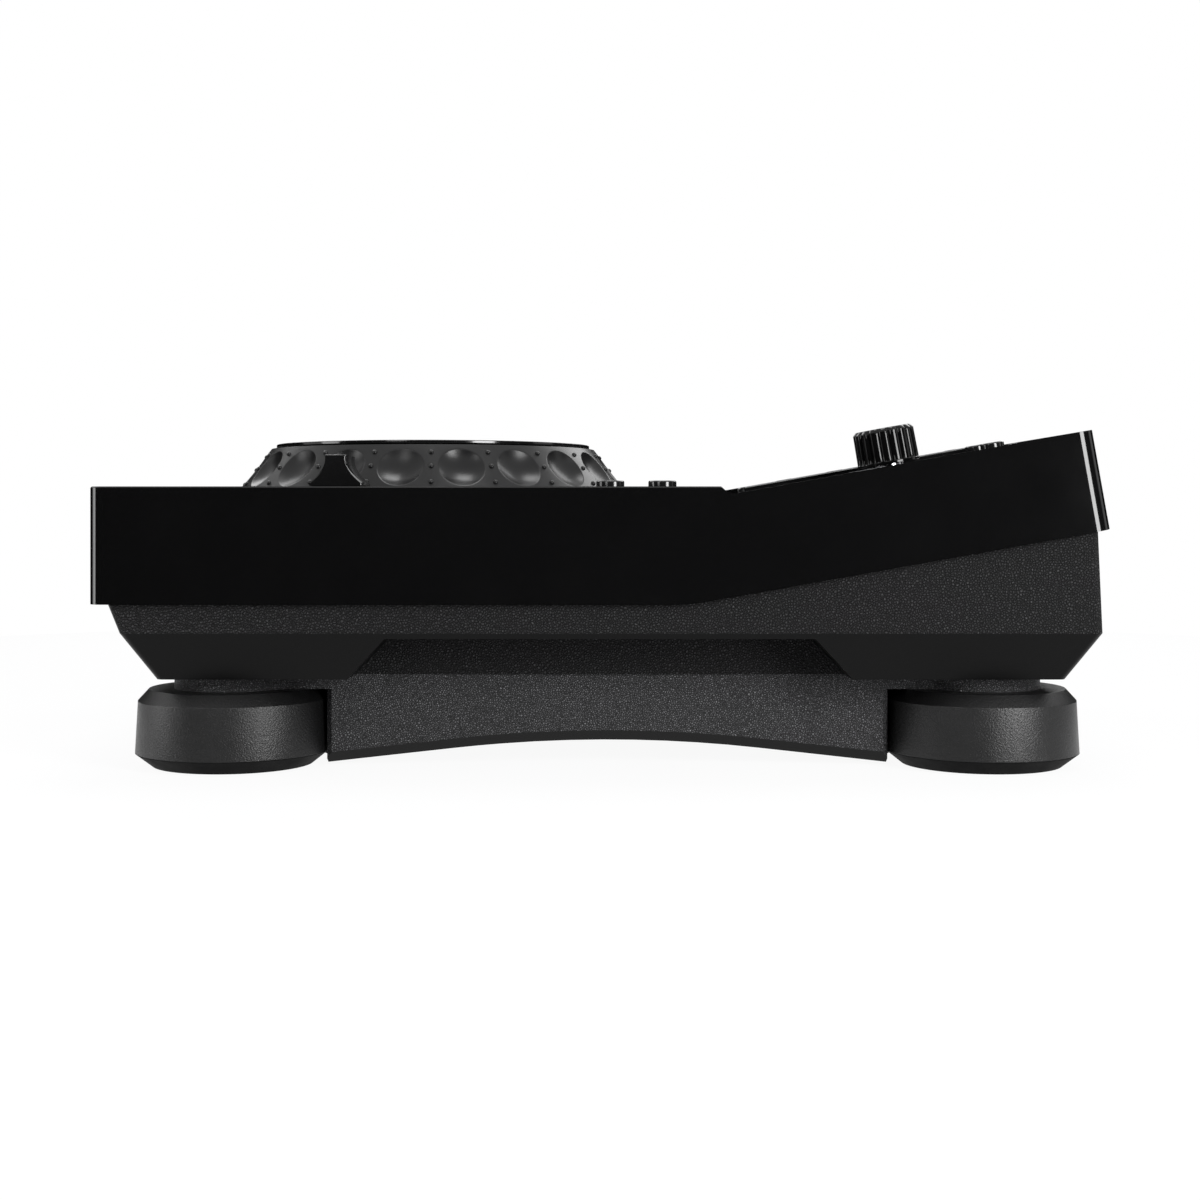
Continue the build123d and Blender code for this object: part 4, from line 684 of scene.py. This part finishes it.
def stacked(rings):
    """The shell of closed rings of points, stacked in order and closed at both ends."""
    count = len(rings[0])
    points = [point for ring in rings for point in ring]
    faces = []
    for level in range(len(rings) - 1):
        base, above = level * count, (level + 1) * count
        for n in range(count):
            m = (n + 1) % count
            faces.append((base + n, base + m, above + m, above + n))
    faces.append(tuple(range(count))[::-1])
    faces.append(tuple(range(len(points) - count, len(points))))
    return points, faces


def rounded_outline(width, depth, corner, inset, steps=6):
    """A rounded rectangle's outline, drawn in by an inset."""
    radius = max(corner - inset, 0.05)
    half_x, half_y = width / 2 - inset - radius, depth / 2 - inset - radius
    outline = []
    for quarter, (side_x, side_y) in enumerate(((1, 1), (-1, 1), (-1, -1), (1, -1))):
        for n in range(steps + 1):
            turn = pi / 2 * (quarter + n / steps)
            outline.append((side_x * half_x + radius * cos(turn), side_y * half_y + radius * sin(turn)))
    return outline


def drawn_in(outline, inset):
    """A closed outline moved inward along its own normals."""
    inner = []
    for before, spot, after in zip(outline[-1:] + outline[:-1], outline, outline[1:] + outline[:1]):
        way = (Vector(after) - Vector(before)).normalized()
        inner.append((spot[0] - way.y * inset, spot[1] + way.x * inset))
    return inner


def on_deck(node):
    """The place of a node that stands on the flat deck, with its foot at the deck."""
    centre = middle(node)
    return Matrix.Translation(Vector((centre.x, centre.y, DECK)) * MM)


def on_slope(across, up):
    """A place on the tilted panel."""
    spot = Vector((across, SLOPE_Y + up * cos(TILT), SLOPE_Z + up * sin(TILT))) * MM
    return Matrix.Translation(spot) @ Matrix.Rotation(TILT, 4, "X")


def on_jog():
    """The place of what turns with the jog wheel."""
    return Matrix.Translation(JOG * MM)


# The jog wheel.

def cone_radius(slant):
    """The cone's radius at a way up its slant from the deck."""
    return JOG_RADIUS - JOG_LEAN * slant / JOG_SLANT


def cone_point(turn, slant):
    """A point on the cone."""
    radius = cone_radius(slant)
    return Vector((radius * cos(turn), radius * sin(turn), DECK + JOG_RISE * slant / JOG_SLANT))


def cone_out(turn):
    """The cone's outward way."""
    return Vector((cos(turn) * JOG_RISE, sin(turn) * JOG_RISE, JOG_LEAN)).normalized()


def dent(turn, slant, off_centre):
    """A point of the cone pushed in by its dimple's ball, with an eased edge."""
    if off_centre < DIMPLE_RADIUS - DIMPLE_EASE:
        depth = sqrt(DIMPLE_BALL ** 2 - off_centre ** 2) - (DIMPLE_BALL - DIMPLE_DEPTH)
    else:
        steep = DIMPLE_RADIUS / (DIMPLE_BALL - DIMPLE_DEPTH)
        depth = steep * max(DIMPLE_RADIUS + DIMPLE_EASE - off_centre, 0.0) ** 2 / (4 * DIMPLE_EASE)
    return cone_point(turn, slant) - cone_out(turn) * depth


def sector_border(half):
    """The border of one dimple's sector of the cone, as (turn, slant)."""
    border = [(half * (2 * n / SECTOR_END - 1), 0.0) for n in range(SECTOR_END)]
    border += [(half, JOG_SLANT * n / SECTOR_SIDE) for n in range(SECTOR_SIDE)]
    border += [(half * (1 - 2 * n / SECTOR_END), JOG_SLANT) for n in range(SECTOR_END)]
    border += [(-half, JOG_SLANT * (1 - n / SECTOR_SIDE)) for n in range(SECTOR_SIDE)]
    return border


def dimple_sector(turn, half):
    """One dimple, on rings that run out to its sector's border."""
    centre = (DIMPLE_Z - DECK) / JOG_RISE * JOG_SLANT
    border = sector_border(half)
    count = len(border)
    reach = [(DIMPLE_RADIUS - DIMPLE_EASE) * n / HOLLOW_RINGS for n in range(1, HOLLOW_RINGS + 1)]
    reach += [DIMPLE_RADIUS + DIMPLE_EASE * n / EDGE_RINGS for n in range(1 - EDGE_RINGS, EDGE_RINGS + 1)]
    points = [dent(turn, centre, 0.0)]
    for radius in reach:
        for off_turn, slant in border:
            way = atan2(slant - centre, off_turn * (JOG_RADIUS + JOG_TOP_RADIUS) / 2)
            level = centre + radius * sin(way)
            points.append(dent(turn + radius * cos(way) / cone_radius(level), level, radius))
    points += [cone_point(turn + off_turn, slant) for off_turn, slant in border]
    faces = []
    for n in range(count):
        m = (n + 1) % count
        faces.append((0, 1 + n, 1 + m))
        for ring in range(len(reach)):
            base = 1 + ring * count
            faces.append((base + n, base + count + n, base + count + m, base + m))
    return points, faces


def stud(turn, height):
    """A small domed stud on the cone."""
    spot = cone_point(turn, (height - DECK) / JOG_RISE * JOG_SLANT)
    out = cone_out(turn)
    side = Vector((-sin(turn), cos(turn), 0))
    up = out.cross(side)
    points, faces = turned([(STUD_RADIUS * share, z) for share, z in STUD_DOME], 16)
    return [spot + side * x + up * y + out * z for x, y, z in points], faces


def jog_ring():
    """The dimpled wheel with its studs, closed below like the solid."""
    half = pi / DIMPLES
    foot = low("jog_ring").z
    bore = JOG_RADIUS - JOG_WALL
    roof = [(radius, JOG_TOP) for radius in (JOG_TOP_RADIUS, JOG_TOP_RADIUS - ROOF_EDGE, ROOF_MIDDLE, 0)]
    inside = [(JOG_RADIUS, DECK), (JOG_RADIUS, foot + SKIRT_BEVEL), (JOG_RADIUS - SKIRT_BEVEL, foot),
              (bore, foot), (bore, DECK), (JOG_TOP_RADIUS - JOG_ROOF_WALL, JOG_TOP - JOG_WEB),
              (0, JOG_TOP - JOG_WEB)]
    shell = joined(
        *(dimple_sector((2 * n + 1) * half, half) for n in range(DIMPLES)),
        *(turned(profile, DIMPLES * SECTOR_END) for profile in (roof, inside)),
        *(stud(2 * n * half, height) for n in range(DIMPLES) for height in STUD_HEIGHTS),
    )
    at = on_jog() @ Matrix.Rotation(DIMPLE_TURN, 4, "Z")
    return piece("jog_wheel_dimpled", shell, FINISHES["jog_black"], "jog_wheel", at)


def jog_plate():
    """The touch plate's gloss rim, with the pin below it."""
    sink = PLATE_TOP - FACE_SINK
    rim = eased([(0, PLATE_LOW), (PLATE_RADIUS, PLATE_LOW), (PLATE_RADIUS, PLATE_TOP - RIM_DROP),
                 (PLATE_RADIUS - RIM_WIDTH, PLATE_TOP), (PLATE_RADIUS - RIM_WIDTH - RIM_FALL, sink),
                 (0, sink)], RIM_EASE)
    sides = 32
    pin_foot = PLATE_LOW - PLATE_PIN_LENGTH
    pin, skin = turned([(PLATE_PIN_RADIUS, pin_foot), (PLATE_PIN_RADIUS, PLATE_LOW)], sides)
    skin.append(tuple(range(sides))[::-1])
    shell = joined(turned(rim, 240), (pin, skin))
    return piece("jog_touch_rim", shell, FINISHES["bezel_gloss"], "jog_top", on_jog())


def jog_face():
    """The spun face laid in the rim."""
    seat, top = PLATE_TOP - FACE_SEAT, PLATE_TOP - FACE_PROUD
    edge = PLATE_RADIUS - FACE_INSET
    profile = [(FACE_BORE, seat), (FACE_BORE, top), (edge, top), (edge, seat), (FACE_BORE, seat)]
    shell = turned(eased(profile, FACE_EASE, 3), 240)
    piece("jog_touch_face", shell, FINISHES["jog_plate"], "jog_top", on_jog())


def jog_display():
    """The glass of the round display in the middle of the plate."""
    seat = PLATE_TOP - FACE_SEAT
    profile = [(0, seat), (DISPLAY_RADIUS, seat), (DISPLAY_RADIUS, PLATE_TOP - DISPLAY_DROP),
               (DISPLAY_RADIUS - DISPLAY_BEVEL, PLATE_TOP), (0, PLATE_TOP)]
    shell = turned(eased(profile, DISPLAY_EASE), 160)
    piece("jog_display_glass", shell, FINISHES["screen_glass"], "jog_top", on_jog())


def jog():
    """The wheel and the plate in the places of their nodes, and what is laid in the plate."""
    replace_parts(jog_ring(), "jog_ring")
    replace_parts(jog_plate(), "jog_plate")
    jog_face()
    jog_display()


# The feet and their pads.

def feet():
    """The satin feet, each a turned moulding with crisp but eased edges."""
    for name in FEET:
        foot, top = low(name).z, high(name).z
        outline = [(PAD_HOLE, foot), (FOOT_RADIUS, foot), FOOT_SHOULDER, (FOOT_CROWN, top), (FOOT_NECK, top),
                   (0, top)]
        shell = turned([(0, foot)] + eased(outline, FOOT_EASE, 5), 144)
        spot = middle(name)
        at = Matrix.Translation(Vector((spot.x, spot.y, 0)) * MM)
        made = piece(name + "_satin", shell, FINISHES["foot_satin"], "player", at)
        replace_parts(made, name)


def pads():
    """Rubber pads with a round recess for the screw and fine ribs on the face below."""
    outline = [(PAD_HOLE, PAD_THICK), (PAD_HOLE, PAD_MOUTH_DEEP),
               (PAD_HOLE + PAD_MOUTH_BEVEL, PAD_MOUTH_BEVEL)]
    for n in range(PAD_RIBS):
        start = PAD_RIB_START + n * PAD_RIB_PITCH
        outline += [(start, 0.0), (start + PAD_RIB_WIDTH, 0.0)]
        outline += [(start + across, PAD_GROOVE_DEEP) for across in PAD_GROOVE]
    outline += [(PAD_RADIUS, 0.0), (FOOT_RADIUS, PAD_THICK), (PAD_HOLE, PAD_THICK)]
    shell = joined(*(moved(turned(outline, 120), middle(name)) for name in FEET))
    made = piece("foot_pads_rubber", shell, FINISHES["pad_rubber"], "player")
    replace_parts(made, "foot_pads")


# The rotary selector.

def knob_levels():
    """The knob's rings from its foot up: radius, height and how much of the flutes' depth they have."""
    wall = KNOB_RADIUS - KNOB_WALL_IN
    wall_low = KNOB_FOOT + KNOB_WALL_FOOT
    wall_tall = KNOB_TOP - KNOB_WALL_CROWN - wall_low
    levels = [(KNOB_RADIUS - inset, KNOB_FOOT + rise, share) for inset, rise, share in KNOB_COLLAR]
    for n in range(KNOB_WALL_STEPS + 1):
        t = n / KNOB_WALL_STEPS
        levels.append((wall - KNOB_TAPER * t, wall_low + wall_tall * t, 1.0))
    levels += [(KNOB_RADIUS - inset, KNOB_TOP - fall, share) for inset, fall, share in KNOB_CROWN]
    levels.append((KNOB_MIDDLE[0], KNOB_TOP - KNOB_MIDDLE[1], 0.0))
    return levels


def selector():
    """The fluted knob: a plain collar, ridges and a bevelled crown."""
    rings = []
    for reach, z, share in knob_levels():
        ring = []
        for n in range(FLUTES * FLUTE_STEPS):
            turn = 2 * pi * n / (FLUTES * FLUTE_STEPS)
            off_ridge = abs((n % FLUTE_STEPS) / FLUTE_STEPS * 2 - 1)
            radius = reach - share * FLUTE_DEPTH * off_ridge ** FLUTE_ROUND
            ring.append((radius * cos(turn), radius * sin(turn), z))
        rings.append(ring)
    at = on_slope(*SELECTOR_SPOT)
    made = piece("selector_knob_fluted", stacked(rings), FINISHES["knob_gloss"], "selector", at)
    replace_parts(made, "selector_knob")


# The tempo slider's cap.

def cap_side():
    """The cap's right half from the middle of its foot to the middle of its crown, bowed in at the waist."""
    bend = (CAP_FLARE + CAP_CROWN) / 2 - 2 * CAP_BOW
    shoulder = CAP_GAP + CAP_FOOT
    side = [(0, CAP_GAP), (CAP_FLARE, CAP_GAP)]
    for n in range(CAP_STEPS + 1):
        t = n / CAP_STEPS
        reach = CAP_FLARE * (1 - t) ** 2 + bend * 2 * t * (1 - t) + CAP_CROWN * t ** 2
        side.append((reach, shoulder + (CAP_HEIGHT - shoulder) * t))
    return eased(side + [(0, CAP_HEIGHT)], CAP_EASE)


def tempo_cap():
    """The waisted grip with eased edges, and a white line along its flat top."""
    side = [tuple(point) for point in cap_side()]
    outline = side + [(-y, z) for y, z in side[-2:0:-1]]
    end = CAP_HALF_WIDTH
    sections = ((CAP_END, -end), (CAP_END_MIDDLE, CAP_END_MIDDLE - end), (0.0, CAP_END - end),
                (0.0, end - CAP_END), (CAP_END_MIDDLE, end - CAP_END_MIDDLE), (CAP_END, end))
    shell = stacked([[(x, y, z) for y, z in drawn_in(outline, inset)] for inset, x in sections])
    at = on_deck("tempo_cap")
    made = piece("tempo_cap_grip", shell, FINISHES["slider_gloss"], "tempo", at)
    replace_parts(made, "tempo_cap")
    marks("tempo_cap_line", [("line", 0, 0)], at, "tempo", CAP_HEIGHT, 1.0)


# The keys.

def cap_profile(top, dish, steps=5):
    """Insets and heights of a key's cap from its foot to a softly rounded, slightly dished top."""
    levels = [(0.0, -KEY_DROP), (0.0, top - KEY_EDGE)]
    for n in range(1, steps + 1):
        turn = pi / 2 * n / steps
        levels.append((KEY_EDGE * (1 - cos(turn)), top - KEY_EDGE + KEY_EDGE * sin(turn)))
    levels += [(KEY_EDGE + n * DISH_STEP, top - dish * n / 3) for n in (1, 2, 3)]
    return levels


def key_cap(node, shell, at):
    """A key's gloss cap in the place of its node."""
    body = node.replace("_button", "_key")
    made = piece(node + "_cap", shell, FINISHES["key_black"], body, at)
    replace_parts(made, node)


def round_key(node, radius, top, at):
    """A round gloss cap, slightly dished."""
    side = [(radius - inset, z) for inset, z in cap_profile(top, ROUND_DISH)]
    key_cap(node, turned([(0, -KEY_DROP)] + side + [(0, top - ROUND_DISH)], 72), at)


def square_key(node, size, at):
    """A low gloss cap with round corners."""
    levels = cap_profile(LOW_RISE, SQUARE_DISH)
    rings = [[(x, y, z) for x, y in rounded_outline(*size, KEY_CORNER, inset)] for inset, z in levels]
    key_cap(node, stacked(rings), at)


def keys():
    """Every push key's cap, and the signs on the two round ones."""
    for names, radius, top in (
        (("play", "cue"), TRANSPORT_RADIUS, TRANSPORT_RISE),
        (("loop_in", "loop_out", "loop_exit", "sync"), LOOP_RADIUS, LOW_RISE),
        (("master_tempo", "tempo_range"), TEMPO_KEY_RADIUS, TEMPO_KEY_RISE),
    ):
        for name in names:
            round_key(name + "_button", radius, top, on_deck(name + "_button"))
    for name in ("search_back", "search_forward", "track_back", "track_forward"):
        square_key(name + "_button", SEARCH_SIZE, on_deck(name + "_button"))
    across = SELECTOR_SPOT[0]
    round_key("back_button", LIST_KEY_RADIUS, LIST_KEY_RISE, on_slope(across - LIST_KEY_REACH, LIST_KEY_UP))
    round_key("tag_button", LIST_KEY_RADIUS, LIST_KEY_RISE, on_slope(across + LIST_KEY_REACH, LIST_KEY_UP))
    across, up = MENU_SPOT
    square_key("menu_button", MENU_SIZE, on_slope(across, up))
    square_key("browse_button", MENU_SIZE, on_slope(across, up + MENU_PITCH))
    round_key("usb_stop_button", STOP_KEY_RADIUS, LOW_RISE, on_slope(*STOP_KEY_SPOT))
    for name in ("play", "cue"):
        at = on_deck(name + "_button")
        marks(name + "_sign", [(name, 0, 0)], at, name + "_key", TRANSPORT_RISE - KEY_SIGN_SINK, 1.0)


# Signs, as thin prisms of ink. Their shapes are in millimetres, before a scale.

def bar(x, y, wide, tall):
    """A filled rectangle round a middle."""
    left, right, foot, top = x - wide / 2, x + wide / 2, y - tall / 2, y + tall / 2
    return [(left, foot), (right, foot), (right, top), (left, top)]


def wedge(x, y, size, turn=0):
    """A filled triangle with sides of about a size that points along +X, turned by degrees."""
    reach = size * WEDGE_REACH
    turns = [radians(turn + corner) for corner in (0, 120, 240)]
    return [(x + reach * cos(a), y + reach * sin(a)) for a in turns]


def band(x, y, radius, wide, start=0, sweep=180, steps=20):
    """Part of a ring, from a start through a sweep in degrees."""
    turns = [radians(start + sweep * n / steps) for n in range(steps + 1)]
    outer = [(x + radius * cos(a), y + radius * sin(a)) for a in turns]
    inner = [(x + (radius - wide) * cos(a), y + (radius - wide) * sin(a)) for a in reversed(turns)]
    return outer + inner


def dot(x, y, radius):
    """A filled disc."""
    return [(x + radius * cos(pi * n / 12), y + radius * sin(pi * n / 12)) for n in range(24)]


def ring(x, y, radius, wide):
    """A whole ring, as two halves."""
    return [band(x, y, radius, wide), band(x, y, radius, wide, 180)]


REWIND = [wedge(-0.9, 0, 1.8, 180), wedge(0.9, 0, 1.8, 180)]
WIND_ON = [wedge(-0.9, 0, 1.8), wedge(0.9, 0, 1.8)]
SIGNS = {
    "play": [wedge(-2.6, 0, 4.6), bar(1.7, 0, 1.1, 4.2), bar(4.0, 0, 1.1, 4.2)],
    "cue": ring(0, 0, 3.1, 0.6) + [dot(0, 0, 1.3)],
    "back": REWIND,
    "forward": WIND_ON,
    "skip_back": [bar(-2.4, 0, 0.4, 1.8)] + REWIND,
    "skip_forward": WIND_ON + [bar(2.4, 0, 0.4, 1.8)],
    "loop_in": [bar(-0.8, 0, 0.35, 2.2), bar(-0.2, 0.93, 0.85, 0.35), bar(-0.2, -0.93, 0.85, 0.35)],
    "loop_out": [bar(0.8, 0, 0.35, 2.2), bar(0.2, 0.93, 0.85, 0.35), bar(0.2, -0.93, 0.85, 0.35)],
    "exit": [band(0, 0, 1.15, 0.35, 40, 280), wedge(1.3, 0.55, 1.1, 70)],
    "sync": [band(-0.65, 0, 1.1, 0.32, 50, 260), band(0.65, 0, 1.1, 0.32, 230, 260)],
    "note": [dot(-0.55, -0.9, 0.6), bar(-0.07, 0.2, 0.28, 2.3), wedge(0.45, 0.95, 1.0, -30)],
    "range": [bar(0, 0.45, 1.7, 0.32), bar(0, 0.45, 0.32, 1.7), bar(0, -0.95, 1.7, 0.32)],
    "return": [band(0.3, 0, 1.0, 0.32, -90, 180), bar(-0.3, 0.84, 1.2, 0.32), wedge(-1.1, 0.84, 1.1, 180)],
    "tag": [[(-0.8, -1.1), (0, -0.5), (0.8, -1.1), (0.8, 1.1), (-0.8, 1.1)]],
    "menu": [bar(0, y, 2.0, 0.35) for y in (0.8, 0, -0.8)],
    "browse": ring(0.2, 0.25, 0.85, 0.3) + [[(-0.3, -0.5), (-0.9, -1.1), (-1.12, -0.88), (-0.52, -0.28)]],
    "eject": [wedge(0, 0.35, 1.8, 90), bar(0, -0.75, 1.7, 0.4)],
    "power": [band(0, -0.1, 1.2, 0.3, 120, 300), bar(0, 0.7, 0.3, 1.3)],
    "turn": [band(0, 0, 13.2, 0.35, 205, 40), wedge(-12.2, -4.4, 1.5, 110),
             band(0, 0, 13.2, 0.35, 295, 40), wedge(12.2, -4.4, 1.5, 70)],
    "network": [bar(0, 0.75, 1.0, 0.8), bar(-0.95, -0.75, 1.0, 0.8), bar(0.95, -0.75, 1.0, 0.8),
                bar(0, 0.15, 0.22, 0.4), bar(0, -0.1, 2.1, 0.22), bar(-0.95, -0.28, 0.22, 0.2),
                bar(0.95, -0.28, 0.22, 0.2)],
    "direct": [bar(0, 0.4, 2.6, 0.3)] + [bar(x, -0.3, 0.6, 0.3) for x in (-1.0, 0, 1.0)],
    "line": [bar(0, 0, 18.6, 0.8)],
    "plus": [bar(0, 0, 1.8, 0.35), bar(0, 0, 0.35, 1.8)],
    "minus": [bar(0, 0, 1.8, 0.35)],
    "nought": ring(0, 0, 0.95, 0.32),
    "tick": [bar(0, 0, 1.6, 0.25)],
    "long_tick": [bar(0, 0, 2.8, 0.35)],
}


def prism(shape, x, y, level, scale):
    """The shell of a flat shape with the ink's thickness on both sides of a level."""
    count = len(shape)
    points = [(px * scale + x, py * scale + y, z) for z in (level - INK_THICK, level + INK_THICK)
              for px, py in shape]
    faces = [tuple(range(count))[::-1], tuple(range(count, 2 * count))]
    for n in range(count):
        m = (n + 1) % count
        faces.append((n, m, count + m, count + n))
    return points, faces


def marks(name, signs, at, body, level=0.0, scale=SIGN_SCALE):
    """Printed signs, each a name of a sign and its spot in the plane of a place, as one piece."""
    shell = joined(*(prism(shape, x, y, level, scale) for sign, x, y in signs for shape in SIGNS[sign]))
    piece(name, shell, INK, body, at=at)


def deck_marks():
    """The signs of the flat deck, and the tempo scale beside its slot."""
    signs = []
    for key, sign, off_x, off_y in (
        ("search_back", "back", 0, SEARCH_SIGN), ("search_forward", "forward", 0, SEARCH_SIGN),
        ("track_back", "skip_back", 0, SEARCH_SIGN), ("track_forward", "skip_forward", 0, SEARCH_SIGN),
        ("loop_in", "loop_in", 0, LOOP_SIGN), ("loop_out", "loop_out", 0, LOOP_SIGN),
        ("loop_exit", "exit", 0, LOOP_SIGN), ("sync", "sync", 0, LOOP_SIGN),
        ("master_tempo", "note", TEMPO_SIGN, 0), ("tempo_range", "range", TEMPO_SIGN, 0),
    ):
        spot = middle(key + "_button")
        signs.append((sign, spot.x + off_x, spot.y + off_y))
    slot = middle("tempo_cap")
    ticks = round(TEMPO_TRAVEL / TICK_PITCH)
    for n in range(-ticks, ticks + 1):
        tick = "long_tick" if n % ticks == 0 else "tick"
        signs.append((tick, slot.x + SCALE_TICKS, slot.y + n * TICK_PITCH))
    for sign, off_y in (("plus", -TEMPO_TRAVEL), ("nought", 0), ("minus", TEMPO_TRAVEL)):
        signs.append((sign, slot.x + SCALE_SIGNS, slot.y + off_y))
    marks("deck_signs", signs, Matrix.Translation((0, 0, DECK * MM)), "player")


def panel_marks():
    """The signs of the tilted panel."""
    at = on_slope(*SELECTOR_SPOT)
    signs = [("return", -LIST_KEY_REACH, LIST_SIGN_UP), ("tag", LIST_KEY_REACH, LIST_SIGN_UP)]
    marks("panel_signs_right", signs, at, "player")
    marks("panel_sign_turn", [("turn", 0, 0)], at, "player", scale=1.0)
    signs = [("menu", 0, MENU_SIGN_UP), ("browse", 0, MENU_SIGN_UP + MENU_PITCH)]
    marks("panel_signs_left", signs, on_slope(*MENU_SPOT), "player")
    marks("panel_sign_eject", [("eject", STOP_SIGN, 0)], on_slope(*STOP_KEY_SPOT), "player")


def rear_marks():
    """The signs over the sockets, on the plate of the rear bay."""
    face = Matrix(((-1, 0, 0, 0), (0, 0, 1, REAR_FACE * MM), (0, 1, 0, REAR_SIGNS_Z * MM), (0, 0, 0, 1)))
    signs = [(sign, -middle(node).x, 0) for sign, node in (
        ("network", "link_socket"), ("direct", "power_inlet"), ("power", "power_button"))]
    marks("rear_signs", signs, face, "player")


def jack_inserts():
    """The coloured rings in the mouths of the two audio sockets: white for left, red for right."""
    end = high("rca_sockets").y
    profile = eased([(INSERT_BORE, -INSERT_SINK), (INSERT_BORE, INSERT_PROUD), (INSERT_RADIUS, INSERT_PROUD),
                     (INSERT_RADIUS, -INSERT_SINK), (INSERT_BORE, -INSERT_SINK)], INSERT_EASE, 3)
    for side, x, colour in JACK_SPOTS:
        name = "jack_insert_" + side
        at = Matrix.Translation(Vector((x, end, SOCKET_Z)) * MM) @ Matrix.Rotation(-pi / 2, 4, "X")
        piece(name, turned(profile, 48), moulded_colour(name, colour), "player", at=at)


# The studio.

def background(sheet, lit, shown):
    """Mixes what lights the player with the white that a camera, gloss or glass sees."""
    seen = sheet.node("LightPath")
    mirrored = sheet.maths("MAXIMUM", seen["Is Glossy Ray"], seen["Is Transmission Ray"])
    direct = sheet.maths("MAXIMUM", seen["Is Camera Ray"], mirrored)
    white = sheet.node("Emission", {}, {"Color": (1, 1, 1, 1), "Strength": 1.0})["Emission"]
    return sheet.node("MixShader", {}, {0: direct * shown, 1: lit, 2: white})["Shader"]


def thin_sheet(name, points, faces, finish):
    """A sheet of the studio, from points in metres."""
    mesh = bpy.data.meshes.new(name)
    mesh.from_pydata(points, [], faces)
    mesh.materials.append(finish)
    made = bpy.data.objects.new(name, mesh)
    bpy.context.scene.collection.objects.link(made)
    return made


def paper_floor():
    """A round, pale paper floor."""
    sheet = new_sheet("floor_paper")
    paper = sheet.node("BsdfDiffuse", {}, {"Color": grey(FLOOR_GREY)})["BSDF"]
    sheet.node("OutputMaterial", {}, {"Surface": background(sheet, paper, FLOOR_WHITE)})
    sides = 128
    turns = [2 * pi * n / sides for n in range(sides)]
    points = [(FLOOR_RADIUS * cos(a), FLOOR_RADIUS * sin(a), -FLOOR_DROP) for a in turns]
    floor = thin_sheet("floor", points, [tuple(range(sides))], sheet.owner)


def dark_cards():
    """A bent black card beyond each long side, that only gloss sees, as studios stand card round gloss."""
    sheet = new_sheet("dark_card")
    fibre = sheet.noise(sheet.place(), 20.0)
    finish = sheet.shade(sheet.mix(fibre, grey(0.0), grey(0.002)), 1.0, specular_ior_level=0.0)
    for name, way in (("dark_card_right", 0.0), ("dark_card_left", pi)):
        points = []
        for n in range(CARD_STEPS + 1):
            turn = way + CARD_SPREAD * (2 * n / CARD_STEPS - 1)
            points += [(CARD_AWAY * cos(turn), CARD_AWAY * sin(turn), z) for z in (CARD_FOOT, CARD_TOP)]
        faces = [(2 * n, 2 * n + 2, 2 * n + 3, 2 * n + 1) for n in range(CARD_STEPS)]
        made = thin_sheet(name, points, faces, finish)
        for ray in ("camera", "diffuse", "transmission", "volume_scatter", "shadow"):
            setattr(made, "visible_" + ray, False)


def room():
    """A world that lights the player dimly and shows as white."""
    world = bpy.data.worlds.new("studio")
    world.cycles.sampling_method = "NONE"
    sheet = Sheet(world)
    dim = sheet.node("Background", {}, {"Color": (1, 1, 1, 1), "Strength": ROOM_LIGHT})["Background"]
    sheet.node("OutputWorld", {}, {"Surface": background(sheet, dim, 1.0)})
    bpy.context.scene.world = world


def soft_box(name, place, width, tall, power):
    """An area lamp that looks at the player."""
    lamp = bpy.data.lights.new(name, "AREA")
    lamp.shape = "RECTANGLE"
    lamp.size = width
    lamp.size_y = tall
    lamp.energy = power
    made = bpy.data.objects.new(name, lamp)
    bpy.context.scene.collection.objects.link(made)
    made.location = place
    made.rotation_euler = (LAMP_AIM - Vector(place)).to_track_quat("-Z", "Y").to_euler()
    made.visible_camera = False


def camera():
    """A level camera that looks at the player's right side."""
    lens = bpy.data.cameras.new("camera")
    lens.sensor_width = CAMERA_SENSOR
    lens.lens = CAMERA_LENS
    lens.shift_y = CAMERA_SHIFT
    lens.clip_start = CAMERA_NEAR
    made = bpy.data.objects.new("camera", lens)
    bpy.context.scene.collection.objects.link(made)
    made.location = CAMERA_PLACE
    made.rotation_euler = (pi / 2, 0.0, pi / 2)
    bpy.context.scene.camera = made


def studio():
    """The floor, cards, world, lamps and camera."""
    bpy.context.scene.view_settings.view_transform = "Standard"
    paper_floor()
    room()
    dark_cards()
    for box in SOFT_BOXES:
        soft_box(*box)
    camera()


def main():
    jog()
    feet()
    pads()
    selector()
    tempo_cap()
    keys()
    deck_marks()
    panel_marks()
    rear_marks()
    jack_inserts()
    studio()


main()
